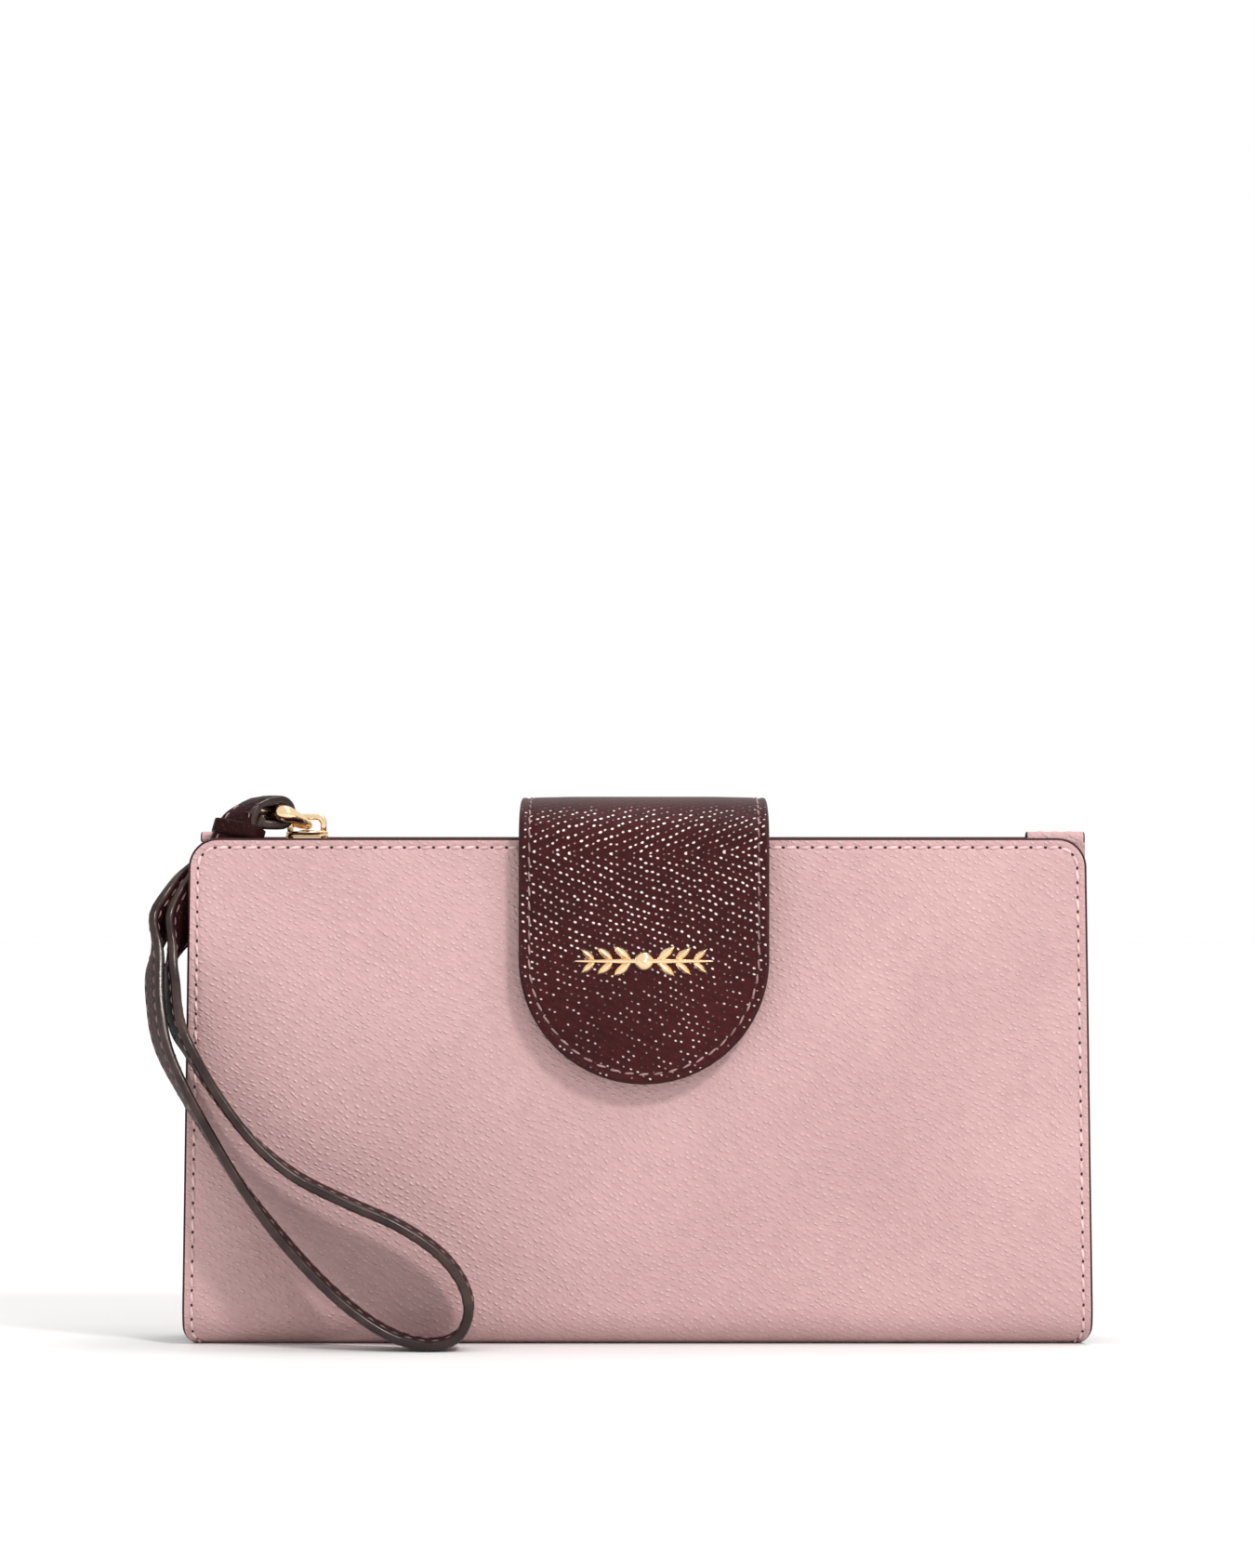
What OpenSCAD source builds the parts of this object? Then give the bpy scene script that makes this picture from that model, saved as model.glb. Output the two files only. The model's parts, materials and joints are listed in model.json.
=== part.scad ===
// Wristlet wallet: two leather covers folded at the bottom, a zipped pocket between them,
// a snap flap over the top and a wrist strap on the zip's pull ring.
// +X is to the right seen from the front, -Y is the front, +Z is up, and the wallet stands on z = 0.

/* [Covers] */
// Width of the covers just above the bottom fold
cover_w = 172; // [150:1:200]
// Width of the covers at the top edge
top_w = 169.4; // [145:0.2:200]
// Height of the covers
cover_h = 95.8; // [90:0.1:110]
// Thickness of the closed wallet, front face to back face
thick = 25.4; // [24.8:0.1:27]
// Radius of the upper corners
corner_r = 5.5; // [3:0.5:8]
// Outer radius of the leather where it turns under
bend_r = 7; // [5:0.5:8]
// Width of the leather where it turns under
spine_w = 171; // [150:0.2:190]
// Thickness of the outer leather
leather_t = 1.2; // [0.8:0.1:1.4]
// Thickness of the stiffener boards
board_t = 0.6; // [0.4:0.1:0.8]
// Thickness of the lining leather
lining_t = 0.6; // [0.4:0.1:1]

/* [Card pockets] */
// Thickness of one card pocket panel
pocket_t = 0.6; // [0.4:0.1:0.7]
// Width of the card pocket panels
pocket_w = 162; // [130:1:164]
// Height of the tallest card pocket panel's edge above the floor
pocket_top = 82; // [70:1:84]
// Step down from one card pocket to the next
pocket_step = 12; // [8:1:16]

/* [Zip pocket] */
// Distance between the outer faces of the zip pocket
zip_pocket_t = 7.8; // [7.6:0.1:8.2]
// Thickness of the zip pocket's leather walls
wall_t = 0.8; // [0.6:0.1:0.9]
// Half length of the zip pocket
zip_pocket_half = 83; // [75:0.5:84]
// Height of the tape's upper face
tape_z = 94.8; // [92:0.1:95]
// Distance from one tooth to the next in a row
tooth_pitch = 2.5; // [2:0.1:3]
// Half length of the row of teeth
teeth_half = 70; // [60:1:71]

/* [Zip slider and ring] */
// Where the slider stands when the zip is closed
slider_x = -63; // [-64:0.5:-50]
// Length of the slider
slider_l = 8; // [7:0.5:9]
// Middle radius of the ring's round end
ring_r = 4.4; // [4.2:0.1:5]
// Radius of the ring's thin wire
wire_r = 0.5; // [0.4:0.05:0.55]
// Radius of the ring's thick bar
bar_r = 1.5; // [1.2:0.1:1.6]
// Distance from the slider's bridge to the middle of the bar
ring_reach = 7.8; // [7:0.1:9]
// Angle by which the ring stands up from the zip
ring_tilt = 20; // [10:1:25]
// Angle by which the ring points to the front
ring_yaw = 30; // [20:1:40]

/* [Flap] */
// Width of the flap
flap_w = 47.2; // [35:0.2:60]
// Sideways offset of the flap from the middle
flap_x = 1.2; // [-3:0.1:3]
// Height of the flap's round end above the floor
flap_tip = 49.4; // [40:0.2:55]
// Height of the flap's highest point
flap_top = 103.4; // [103.2:0.1:108]
// Thickness of the flap's outer leather
flap_t = 1.2; // [0.8:0.1:1.4]
// Thickness of the flap's lining
flap_lining_t = 1.1; // [0.6:0.1:1.2]
// Space between the front cover and the flap
flap_gap = 2.4; // [2:0.1:4]
// Height of the snap's middle above the floor
snap_z = 62; // [56:0.5:75]
// Height of the ornament's middle above the floor
ornament_z = 72.7; // [66:0.1:80]

/* [Wrist strap] */
// Width of the strap
strap_w = 10; // [8:0.5:10]
// Thickness of the strap
strap_t = 1.9; // [1.6:0.1:2]

/* [Hidden] */

$fn = 48;
pink = "#deb4b8";
oxblood = "#4b2426";
cloth = "#8a5a5c";
card = "#b8a890";
gold = "#e0b878";

half = thick / 2;
board_y = half - leather_t;
lining_y = board_y - board_t;
pocket_y = lining_y - lining_t;
inner_z = bend_r + 0.5;
edge_inset = 0.3;
spine_flat = half - bend_r;
fold_z = 12;
fold_inset = 0.5;

wall_y = zip_pocket_t / 2;
wall_in = wall_y - wall_t;
spine_lining_top = leather_t + lining_t;
spine_lining_half = 5.5;
bag_t = 0.4;
bag_half = 80;
bag_top = 91.5;
tape_t = 0.6;
wall_top = tape_z - tape_t;
teeth_in = 0.5;
teeth_out = 2.1;
tooth_w = 1.1;
tooth_h = 1.8;
tooth_z = tape_z - tape_t / 2 - tooth_h / 2;
stop_l = 1.6;
tab_l = 11.2;
tab_half_y = 2.2;
tab_top = 96.9;
tab_t = 1;
tab_left = -83.2;
tab_right = 74;
tab_skirt = 4.8;
tab_skirt_gap = 0.2;

slider_half_w = 2.8;
plate_t = 0.8;
slider_top = 96.5;
slider_bottom = 92.6;
lip_w = 0.4;
lip_top = 95;
lip_bottom = 94;
post_l = 1.2;
post_w = 0.6;
bridge_half_l = 3.8;
bridge_wire = 1;
bridge_half_w = 1.2;
bridge_top = 100.3;
swivel_r = 4;
swivel_t = 0.5;
rivet_r = 0.9;
rivet_head_r = 1.6;
rivet_head_t = 0.25;
rivet_play = 0.05;
ring_z = 97.9;
bar_x = slider_x - ring_reach * cos(ring_tilt) * cos(ring_yaw);
bar_y = -ring_reach * cos(ring_tilt) * sin(ring_yaw);
bar_z = ring_z + ring_reach * sin(ring_tilt);

flap_in = half + flap_gap;
flap_mid = flap_in + flap_lining_t;
flap_out = flap_mid + flap_t;
base_mid = half + flap_lining_t;
base_out = base_mid + flap_t;
arch_z = cover_h + 0.4;
arch_y = (base_out - flap_out) / 2;
arch_half = (base_out + flap_out) / 2;
arch_rise = flap_top - arch_z;
base_bottom = 60;
base_corner = 6;
socket_r = 5.4;
socket_bore = 2.6;
socket_h = 1.5;
stud_r = 5;
stud_flange = 0.5;
stud_nose_r = 2.2;
stud_nose = 1.5;
stud_post_r = 1.5;
washer_r = 5;
fit_gap = 0.1;

loop_w = 7;
loop_in = 1.8;
loop_out = 3;
tail_end = 4.5;
tail_t = 4.2;
keeper_l = 2.4;
keeper_ring = 3;
keeper_in_w = 8.2;
keeper_in_h = 4.3;
keeper_t = 0.6;

// The strap's middle line, from the keeper down the inner run, round the loop and back up the
// outer run. Each point is x, y, z and the turn of the strap's width from +Y towards +X.
strap_route = [
    [-73.4, -5.6, 101.8, 150], [-75.4, -7.0, 99.2, 122], [-76.6, -7.9, 95.4, 98],
    [-78.2, -8.1, 91.2, 89], [-81.2, -8.0, 86.2, 84], [-85.7, -8.5, 80.4, 47],
    [-88.0, -10.6, 74.0, -1], [-87.9, -13.2, 68.0, -12], [-87.0, -16.4, 62.5, -15],
    [-84.6, -19.5, 57.0, -12], [-79.5, -20.5, 48.5, -8], [-72.5, -21.5, 39.5, -5],
    [-64.0, -22.0, 32.5, 0], [-54.0, -22.5, 27.5, 0], [-45.0, -22.5, 23.5, 0],
    [-37.5, -22.5, 18.5, 0], [-33.0, -22.5, 13.0, 0], [-31.6, -22.5, 7.5, 0],
    [-33.5, -22.5, 2.8, 0], [-38.5, -22.5, 1.1, 0], [-45.0, -22.5, 2.4, 0],
    [-52.0, -22.5, 6.5, 0], [-59.5, -22.3, 13.0, 0], [-67.5, -22.0, 21.8, 0],
    [-74.5, -21.5, 31.0, -5], [-80.5, -20.5, 40.5, -8], [-85.5, -19.5, 49.0, -12],
    [-89.3, -17.0, 57.0, -16], [-90.9, -14.1, 65.0, -16], [-91.1, -11.0, 73.0, -12],
    [-89.9, -7.9, 80.6, 28], [-82.9, -5.9, 86.6, 81], [-78.2, -5.7, 91.2, 89],
    [-76.3, -5.6, 95.0, 98], [-74.3, -5.2, 98.0, 122], [-71.9, -4.7, 100.2, 150]];
strap_steps = 2;
strap_edge = 0.4;
strap_end_w = 7.2;
strap_taper_rings = 9;

// Points along an arc of radius r about [x, y].
function arc(x, y, r, from, to, n = 10) =
    [for (i = [0:n]) let (a = from + (to - from) * i / n) [x + r * cos(a), y + r * sin(a)]];

// Half of an ellipse that opens downwards, as seen from the end of the wallet.
function half_ellipse(a, b, n = 24) =
    [for (i = [0:n]) [arch_y + a * cos(180 * i / n), arch_z + b * sin(180 * i / n)]];

// Extrudes an outline drawn in x and z, from y = y0 to y = y1.
module upright(y0, y1) {
    translate([0, y1, 0]) rotate([90, 0, 0]) linear_extrude(y1 - y0) children();
}

// Extrudes an outline drawn in y and z, from x = x0 to x = x1.
module along(x0, x1) {
    translate([x0, 0, 0]) rotate([90, 0, 90]) linear_extrude(x1 - x0) children();
}

// The covers' outline: a little narrower at the top, round upper corners and a tucked-in fold.
module cover_outline(inset = 0, bottom = bend_r) {
    low = cover_w / 2 - inset;
    high = top_w / 2 - inset;
    top = cover_h - inset;
    polygon(concat(
        [[-low + fold_inset, bottom], [low - fold_inset, bottom], [low, fold_z]],
        arc(high - corner_r, top - corner_r, corner_r, 0, 90),
        arc(-high + corner_r, top - corner_r, corner_r, 90, 180),
        [[-low, fold_z]]));
}

// The flap's front outline, from its bend at the top to its round end.
module tongue_outline() {
    r = flap_w / 2;
    polygon(concat(
        [[flap_x - r, arch_z], [flap_x + r, arch_z]],
        [for (p = arc(flap_x, flap_tip + r, r, 0, -180, 32)) p]));
}

module round_post(x, z, r, y0, y1) {
    translate([x, y1, z]) rotate([90, 0, 0]) cylinder(r = r, h = y1 - y0);
}

// One leather quarter turn under the wallet, centred at y = side * spine_flat.
module quarter_bend(from) {
    y = (from == 180 ? -1 : 1) * spine_flat;
    along(-spine_w / 2, spine_w / 2)
        polygon(concat(arc(y, bend_r, bend_r, from, from + 90),
                       arc(y, bend_r, bend_r - leather_t, from + 90, from)));
}

module outer_cover_back() {
    color(pink) union() {
        upright(board_y, half) cover_outline();
        quarter_bend(270);
        translate([-spine_w / 2, -spine_flat, 0]) cube([spine_w, 2 * spine_flat, leather_t]);
    }
}

module outer_cover_bend() {
    color(pink) quarter_bend(180);
}

module outer_cover_front() {
    color(pink) difference() {
        upright(-half, -board_y) cover_outline();
        round_post(flap_x, snap_z, stud_post_r + fit_gap, -half - 1, -board_y + 1);
    }
}

module back_stiffener() {
    color(card) upright(lining_y, board_y) cover_outline(edge_inset, inner_z);
}

module front_stiffener() {
    color(card) difference() {
        upright(-board_y, -lining_y) cover_outline(edge_inset, inner_z);
        round_post(flap_x, snap_z, washer_r + fit_gap, -board_y - 1, -lining_y + 1);
    }
}

module back_lining() {
    color(oxblood) upright(pocket_y, lining_y) cover_outline(edge_inset, inner_z);
}

module front_lining() {
    color(oxblood) upright(-lining_y, -pocket_y) cover_outline(edge_inset, inner_z);
}

module spine_lining() {
    color(oxblood)
        translate([-spine_w / 2 + 1, -spine_lining_half, leather_t])
            cube([spine_w - 2, 2 * spine_lining_half, lining_t]);
}

// Card pocket panel number i, counted from the lining; side is -1 in front and 1 at the back.
module card_pocket(i, side) {
    outer = pocket_y - i * pocket_t;
    near = side > 0 ? outer - pocket_t : -outer;
    color(oxblood) translate([-pocket_w / 2, near, inner_z])
        cube([pocket_w, pocket_t, pocket_top - i * pocket_step - inner_z]);
}

module back_card_pocket_high() { card_pocket(0, 1); }
module back_card_pocket_mid() { card_pocket(1, 1); }
module back_card_pocket_low() { card_pocket(2, 1); }
module front_card_pocket_high() { card_pocket(0, -1); }
module front_card_pocket_mid() { card_pocket(1, -1); }
module front_card_pocket_low() { card_pocket(2, -1); }

module zip_wall(y) {
    color(pink) translate([-zip_pocket_half, y, spine_lining_top])
        cube([2 * zip_pocket_half, wall_t, wall_top - spine_lining_top]);
}

module zip_pocket_front_wall() { zip_wall(-wall_y); }
module zip_pocket_back_wall() { zip_wall(wall_in); }

module zip_pocket_lining() {
    color(cloth) translate([-bag_half, 0, spine_lining_top]) difference() {
        translate([0, -wall_in, 0]) cube([2 * bag_half, 2 * wall_in, bag_top - spine_lining_top]);
        translate([-1, -wall_in + bag_t, bag_t])
            cube([2 * bag_half + 2, 2 * (wall_in - bag_t), bag_top]);
    }
}

// The folded side of the zip pocket; side is -1 on the left and 1 on the right.
module gusset(side) {
    fold = bag_half + 0.2;
    outer = zip_pocket_half - 0.5;
    color(oxblood) translate([0, 0, spine_lining_top])
        linear_extrude(bag_top - spine_lining_top)
            polygon([[side * outer, -wall_in], [side * (outer - wall_t), -wall_in],
                     [side * fold, 0], [side * (outer - wall_t), wall_in],
                     [side * outer, wall_in], [side * (fold + wall_t), 0]]);
}

module zip_pocket_gusset_left() { gusset(-1); }
module zip_pocket_gusset_right() { gusset(1); }

module zip_tape(y) {
    color(oxblood) translate([-zip_pocket_half, y, wall_top])
        cube([2 * zip_pocket_half, wall_y - teeth_out, tape_t]);
}

module zip_tape_front() { zip_tape(-wall_y); }
module zip_tape_back() { zip_tape(teeth_out); }

// One row of teeth; the back row stands half a pitch to the side of the front row.
module zip_teeth(y, shift) {
    color(gold)
        for (x = [-teeth_half : tooth_pitch : teeth_half - tooth_pitch])
            translate([x + shift, y, tooth_z])
                cube([tooth_w, teeth_out - teeth_in, tooth_h]);
}

module zip_teeth_front() { zip_teeth(-teeth_out, 0); }
module zip_teeth_back() { zip_teeth(teeth_in, tooth_pitch / 2); }

// The pair of metal stops at one end of the zip.
module zip_stop(x) {
    color(gold)
        for (y = [-teeth_out, teeth_in])
            translate([x, y, tooth_z]) cube([stop_l, teeth_out - teeth_in, tooth_h]);
}

module zip_stop_left() { zip_stop(-teeth_half - stop_l - 0.3); }
module zip_stop_right() { zip_stop(teeth_half + 0.3); }

// A leather tab folded over one end of the zip tape. Past the pocket's end it hangs lower.
module zip_end_tab(x) {
    past = zip_pocket_half + tab_skirt_gap;
    low = tape_z - tab_skirt;
    color(pink) difference() {
        union() {
            translate([x, -tab_half_y, tape_z]) cube([tab_l, 2 * tab_half_y, tab_top - tape_z]);
            if (x + tab_l > past)
                translate([past, -tab_half_y, low])
                    cube([x + tab_l - past, 2 * tab_half_y, tab_top - low]);
        }
        translate([x - 1, -tab_half_y + tab_t, low - 1])
            cube([tab_l + 2, 2 * (tab_half_y - tab_t), tab_top - low - tab_t + 1]);
    }
}

module zip_end_tab_left() { zip_end_tab(tab_left); }
module zip_end_tab_right() { zip_end_tab(tab_right); }

module flap_base() {
    r = flap_w / 2;
    color(oxblood) upright(half, base_out)
        polygon(concat(
            [[flap_x + r, arch_z], [flap_x - r, arch_z]],
            arc(flap_x - r + base_corner, base_bottom + base_corner, base_corner, 180, 270),
            arc(flap_x + r - base_corner, base_bottom + base_corner, base_corner, 270, 360)));
}

// One layer of the flap where it arches over the zip; out and in are its two half lengths.
module arch_layer(out, in) {
    along(flap_x - flap_w / 2, flap_x + flap_w / 2)
        polygon(concat(
            half_ellipse(out, arch_rise - (arch_half - out)),
            [for (i = [24:-1:0]) half_ellipse(in, arch_rise - (arch_half - in))[i]]));
}

module flap_bridge_leather() {
    color(oxblood) arch_layer(arch_half, arch_half - flap_t);
}

module flap_bridge_lining() {
    color(oxblood) arch_layer(arch_half - flap_t, arch_half - flap_t - flap_lining_t);
}

module flap_tongue_leather() {
    color(oxblood) upright(-flap_out, -flap_mid) tongue_outline();
}

module flap_tongue_lining() {
    color(oxblood) upright(-flap_mid, -flap_in) tongue_outline();
}

module snap_stud() {
    color(gold) union() {
        round_post(flap_x, snap_z, stud_r, -half - stud_flange, -half);
        round_post(flap_x, snap_z, stud_nose_r, -half - stud_flange - stud_nose, -half);
        round_post(flap_x, snap_z, stud_post_r, -half - stud_flange, -board_y);
    }
}

module snap_stud_washer() {
    color(gold) round_post(flap_x, snap_z, washer_r, -board_y, -lining_y);
}

module snap_socket() {
    color(gold) difference() {
        round_post(flap_x, snap_z, socket_r, -flap_in, -flap_in + socket_h);
        round_post(flap_x, snap_z, socket_bore, -flap_in - 1, -flap_in + socket_h + 1);
    }
}

// One pointed leaf, lying along +X from the origin.
module leaf(l) {
    r = l * 0.85;
    lift = sqrt(r * r - l * l / 4);
    intersection() {
        translate([l / 2, lift]) circle(r);
        translate([l / 2, -lift]) circle(r);
    }
}

// A plain sprig: a stem with pairs of leaves to each side of a small round berry.
module flap_ornament() {
    stem = 13;
    leaf_l = 5;
    color(gold) translate([flap_x, 0, ornament_z]) upright(-flap_out - 1, -flap_out) {
        circle(2);
        translate([-stem, -0.35]) square([2 * stem, 0.7]);
        for (m = [0, 1]) mirror([m, 0])
            for (x = [2.2, 5.6, 9], s = [-1, 1])
                translate([x, 0]) rotate(s * 38) leaf(leaf_l - x * 0.12);
    }
}

module slider_body() {
    x0 = slider_x - slider_l / 2;
    w = 2 * slider_half_w;
    color(gold) union() {
        for (z = [slider_bottom, slider_top - plate_t])
            translate([x0, -slider_half_w, z]) cube([slider_l, w, plate_t]);
        for (y = [-slider_half_w, slider_half_w - lip_w]) {
            translate([x0, y, lip_top]) cube([slider_l, lip_w, slider_top - lip_top]);
            translate([x0, y, slider_bottom]) cube([slider_l, lip_w, lip_bottom - slider_bottom]);
        }
        translate([x0, -post_w / 2, slider_bottom])
            cube([post_l, post_w, slider_top - slider_bottom]);
        translate([slider_x, 0, slider_top - plate_t / 2])
            cylinder(r = rivet_r, h = plate_t / 2 + swivel_t + rivet_play);
        translate([slider_x, 0, slider_top + swivel_t + rivet_play])
            cylinder(r = rivet_head_r, h = rivet_head_t);
    }
}

// The bridge the ring hangs in, on a plate that turns about the slider's rivet.
module slider_bridge() {
    r = 1.6;
    h = bridge_half_l;
    foot = slider_top + swivel_t;
    color(gold) translate([slider_x, 0, 0]) union() {
        translate([0, 0, slider_top]) difference() {
            cylinder(r = swivel_r, h = swivel_t);
            translate([0, 0, -1]) cylinder(r = rivet_r + rivet_play, h = swivel_t + 2);
        }
        difference() {
            upright(-bridge_half_w, bridge_half_w)
                polygon(concat([[-h, foot - swivel_t / 2], [h, foot - swivel_t / 2]],
                    arc(h - r, bridge_top - r, r, 0, 90),
                    arc(-h + r, bridge_top - r, r, 90, 180)));
            upright(-2, 2)
                polygon(concat([[-h + bridge_wire, foot - 1], [h - bridge_wire, foot - 1]],
                    arc(h - r, bridge_top - r, r - bridge_wire, 0, 90),
                    arc(-h + r, bridge_top - r, r - bridge_wire, 90, 180)));
        }
    }
}

// Places a shape drawn with -X along the ring and Y along its bar.
module at_bridge() {
    translate([slider_x, 0, ring_z]) rotate([0, 0, ring_yaw]) rotate([0, ring_tilt, 0]) children();
}

// The same, with the bar's middle at the origin and no tilt.
module at_bar() {
    translate([bar_x, bar_y, bar_z]) rotate([0, 0, ring_yaw]) children();
}

module pull_ring() {
    arm = ring_reach - ring_r;
    color(gold) at_bridge() union() {
        translate([-ring_r, 0, 0]) rotate([0, 0, -90])
            rotate_extrude(angle = 180) translate([ring_r, 0]) circle(wire_r);
        for (y = [-ring_r, ring_r])
            translate([-ring_reach, y, 0]) {
                rotate([0, 90, 0]) cylinder(r1 = bar_r, r2 = wire_r, h = arm);
                sphere(bar_r);
            }
        translate([-ring_reach, -ring_r, 0]) rotate([-90, 0, 0])
            cylinder(r = bar_r, h = 2 * ring_r);
    }
}

module strap_end_loop() {
    color(oxblood) at_bar() difference() {
        union() {
            translate([0, -loop_w / 2, 0]) rotate([-90, 0, 0]) cylinder(r = loop_out, h = loop_w);
            translate([-tail_end, -loop_w / 2, -tail_t / 2]) cube([tail_end, loop_w, tail_t]);
        }
        translate([0, -loop_w / 2 - 1, 0]) rotate([-90, 0, 0]) cylinder(r = loop_in, h = loop_w + 2);
    }
}

// A smooth curve through the route's points: the point at share t of stretch i.
function route(i) = strap_route[max(0, min(len(strap_route) - 1, i))];
function blend_at(i, t) = 0.5 * (2 * route(i) + t * (route(i + 1) - route(i - 1))
    + t * t * (2 * route(i - 1) - 5 * route(i) + 4 * route(i + 1) - route(i + 2))
    + t * t * t * (3 * route(i) - route(i - 1) - 3 * route(i + 1) + route(i + 2)));
function xyz(p) = [p[0], p[1], p[2]];
function unit(v) = v / norm(v);

// The strap's middle line, and its own directions at ring i: along it, across it and out of it.
strap_line = [for (i = [0:len(strap_route) - 2], s = [0:strap_steps - 1])
              blend_at(i, s / strap_steps), route(len(strap_route) - 1)];
strap_rings = len(strap_line);
function ahead(i) =
    unit(xyz(strap_line[min(i + 1, strap_rings - 1)]) - xyz(strap_line[max(i - 1, 0)]));
function across(i) =
    let (t = ahead(i), w = [sin(strap_line[i][3]), cos(strap_line[i][3]), 0])
    unit(w - (w * t) * t);
function outward(i) = cross(across(i), ahead(i));

// Half the strap's width at ring i: it is cut narrower towards both ends to go round the ring.
function half_width(i) =
    let (share = min(1, min(i, strap_rings - 1 - i) / strap_taper_rings))
    (strap_end_w + (strap_w - strap_end_w) * share) / 2;

// The strap's section as [width, thickness], with its edges rounded off.
function strap_section(w) =
    let (t = strap_t / 2, e = strap_edge)
    [[-w, -t + e], [-w + e, -t], [w - e, -t], [w, -t + e],
     [w, t - e], [w - e, t], [-w + e, t], [-w, t - e]];

module strap_band() {
    k = len(strap_section(strap_w / 2));
    points = [for (i = [0:strap_rings - 1], c = strap_section(half_width(i)))
              xyz(strap_line[i]) + c[0] * across(i) + c[1] * outward(i)];
    sides = [for (i = [0:strap_rings - 2], j = [0:k - 1])
        let (a = i * k + j, b = i * k + (j + 1) % k)
        for (f = [[a, a + k, b], [b, a + k, b + k]]) f];
    ends = [[for (j = [0:k - 1]) j], [for (j = [k - 1:-1:0]) (strap_rings - 1) * k + j]];
    color(oxblood) polyhedron(points = points, faces = concat(sides, ends), convexity = 10);
}

// A flat leather sleeve round both ends of the strap, just above the wallet's top edge.
module strap_keeper() {
    i = keeper_ring;
    t = ahead(i);
    w = across(i);
    n = outward(i);
    c = (xyz(strap_line[i]) + xyz(strap_line[strap_rings - 1 - i])) / 2;
    color(oxblood)
        multmatrix([[t[0], w[0], n[0], c[0]], [t[1], w[1], n[1], c[1]], [t[2], w[2], n[2], c[2]]])
            difference() {
                cube([keeper_l, keeper_in_w + 2 * keeper_t, keeper_in_h + 2 * keeper_t],
                     center = true);
                cube([keeper_l + 2, keeper_in_w, keeper_in_h], center = true);
            }
}

outer_cover_back();
outer_cover_bend();
back_stiffener();
back_lining();
back_card_pocket_high();
back_card_pocket_mid();
back_card_pocket_low();
spine_lining();
zip_pocket_front_wall();
zip_pocket_back_wall();
zip_pocket_lining();
zip_pocket_gusset_left();
zip_pocket_gusset_right();
zip_tape_front();
zip_tape_back();
zip_teeth_front();
zip_teeth_back();
zip_stop_left();
zip_stop_right();
zip_end_tab_left();
zip_end_tab_right();
flap_base();
outer_cover_front();
front_stiffener();
front_lining();
front_card_pocket_high();
front_card_pocket_mid();
front_card_pocket_low();
snap_stud();
snap_stud_washer();
flap_bridge_leather();
flap_bridge_lining();
flap_tongue_leather();
flap_tongue_lining();
snap_socket();
flap_ornament();
slider_body();
slider_bridge();
pull_ring();
strap_end_loop();
strap_keeper();
strap_band();
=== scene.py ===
import json
import math

import bmesh
import bpy
import numpy as np
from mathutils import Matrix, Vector


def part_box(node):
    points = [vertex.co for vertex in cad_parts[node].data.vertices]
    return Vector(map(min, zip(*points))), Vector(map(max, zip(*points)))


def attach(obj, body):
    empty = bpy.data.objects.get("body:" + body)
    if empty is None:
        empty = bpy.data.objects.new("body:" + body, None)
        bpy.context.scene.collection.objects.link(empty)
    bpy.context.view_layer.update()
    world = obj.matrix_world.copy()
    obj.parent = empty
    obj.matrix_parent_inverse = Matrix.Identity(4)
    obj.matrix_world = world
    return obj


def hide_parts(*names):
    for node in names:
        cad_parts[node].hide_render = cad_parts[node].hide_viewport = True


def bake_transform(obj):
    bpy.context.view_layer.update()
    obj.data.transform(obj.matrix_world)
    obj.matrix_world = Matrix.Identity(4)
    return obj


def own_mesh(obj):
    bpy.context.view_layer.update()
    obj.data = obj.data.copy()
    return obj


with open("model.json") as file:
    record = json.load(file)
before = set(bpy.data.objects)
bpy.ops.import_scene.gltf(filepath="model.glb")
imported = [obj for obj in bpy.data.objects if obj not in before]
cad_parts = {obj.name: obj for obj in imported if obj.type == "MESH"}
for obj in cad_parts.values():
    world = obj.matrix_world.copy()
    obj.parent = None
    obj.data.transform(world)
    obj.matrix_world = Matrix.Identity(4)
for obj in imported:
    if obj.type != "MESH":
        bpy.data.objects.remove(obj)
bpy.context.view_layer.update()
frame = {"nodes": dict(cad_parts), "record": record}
MM = 0.001


def low(node):
    """Lowest corner of a CAD node, in metres."""
    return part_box(node)[0]


def high(node):
    """Highest corner of a CAD node, in metres."""
    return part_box(node)[1]


# Sizes that come from the frame
HALF = high("outer_cover_back").y
COVER_H = high("outer_cover_front").z
COVER_W = high("outer_cover_front").x
LEATHER_T = high("outer_cover_front").y - low("outer_cover_front").y
BEND_R = low("outer_cover_front").z
SPINE_FLAT = HALF - BEND_R
FLAP_LOW, FLAP_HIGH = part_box("flap_tongue_leather")
FLAP_X = (FLAP_LOW.x + FLAP_HIGH.x) / 2
FLAP_W = (FLAP_HIGH.x - FLAP_LOW.x) / 2
FLAP_OUT = -FLAP_LOW.y
FLAP_IN = -high("flap_tongue_lining").y
FLAP_T = FLAP_OUT - FLAP_IN
BASE_OUT = high("flap_base").y
BASE_LOW = low("flap_base").z
ARCH_Z = FLAP_HIGH.z
ARCH_TOP = high("flap_bridge_leather").z
JOINTS = {j["name"]: j for j in frame["record"]["behaviour"]["joints"]}
BRIDGE = Vector(JOINTS["ring_turn"]["pos_m"])
BAR = Vector(JOINTS["strap_swing"]["pos_m"])

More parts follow.
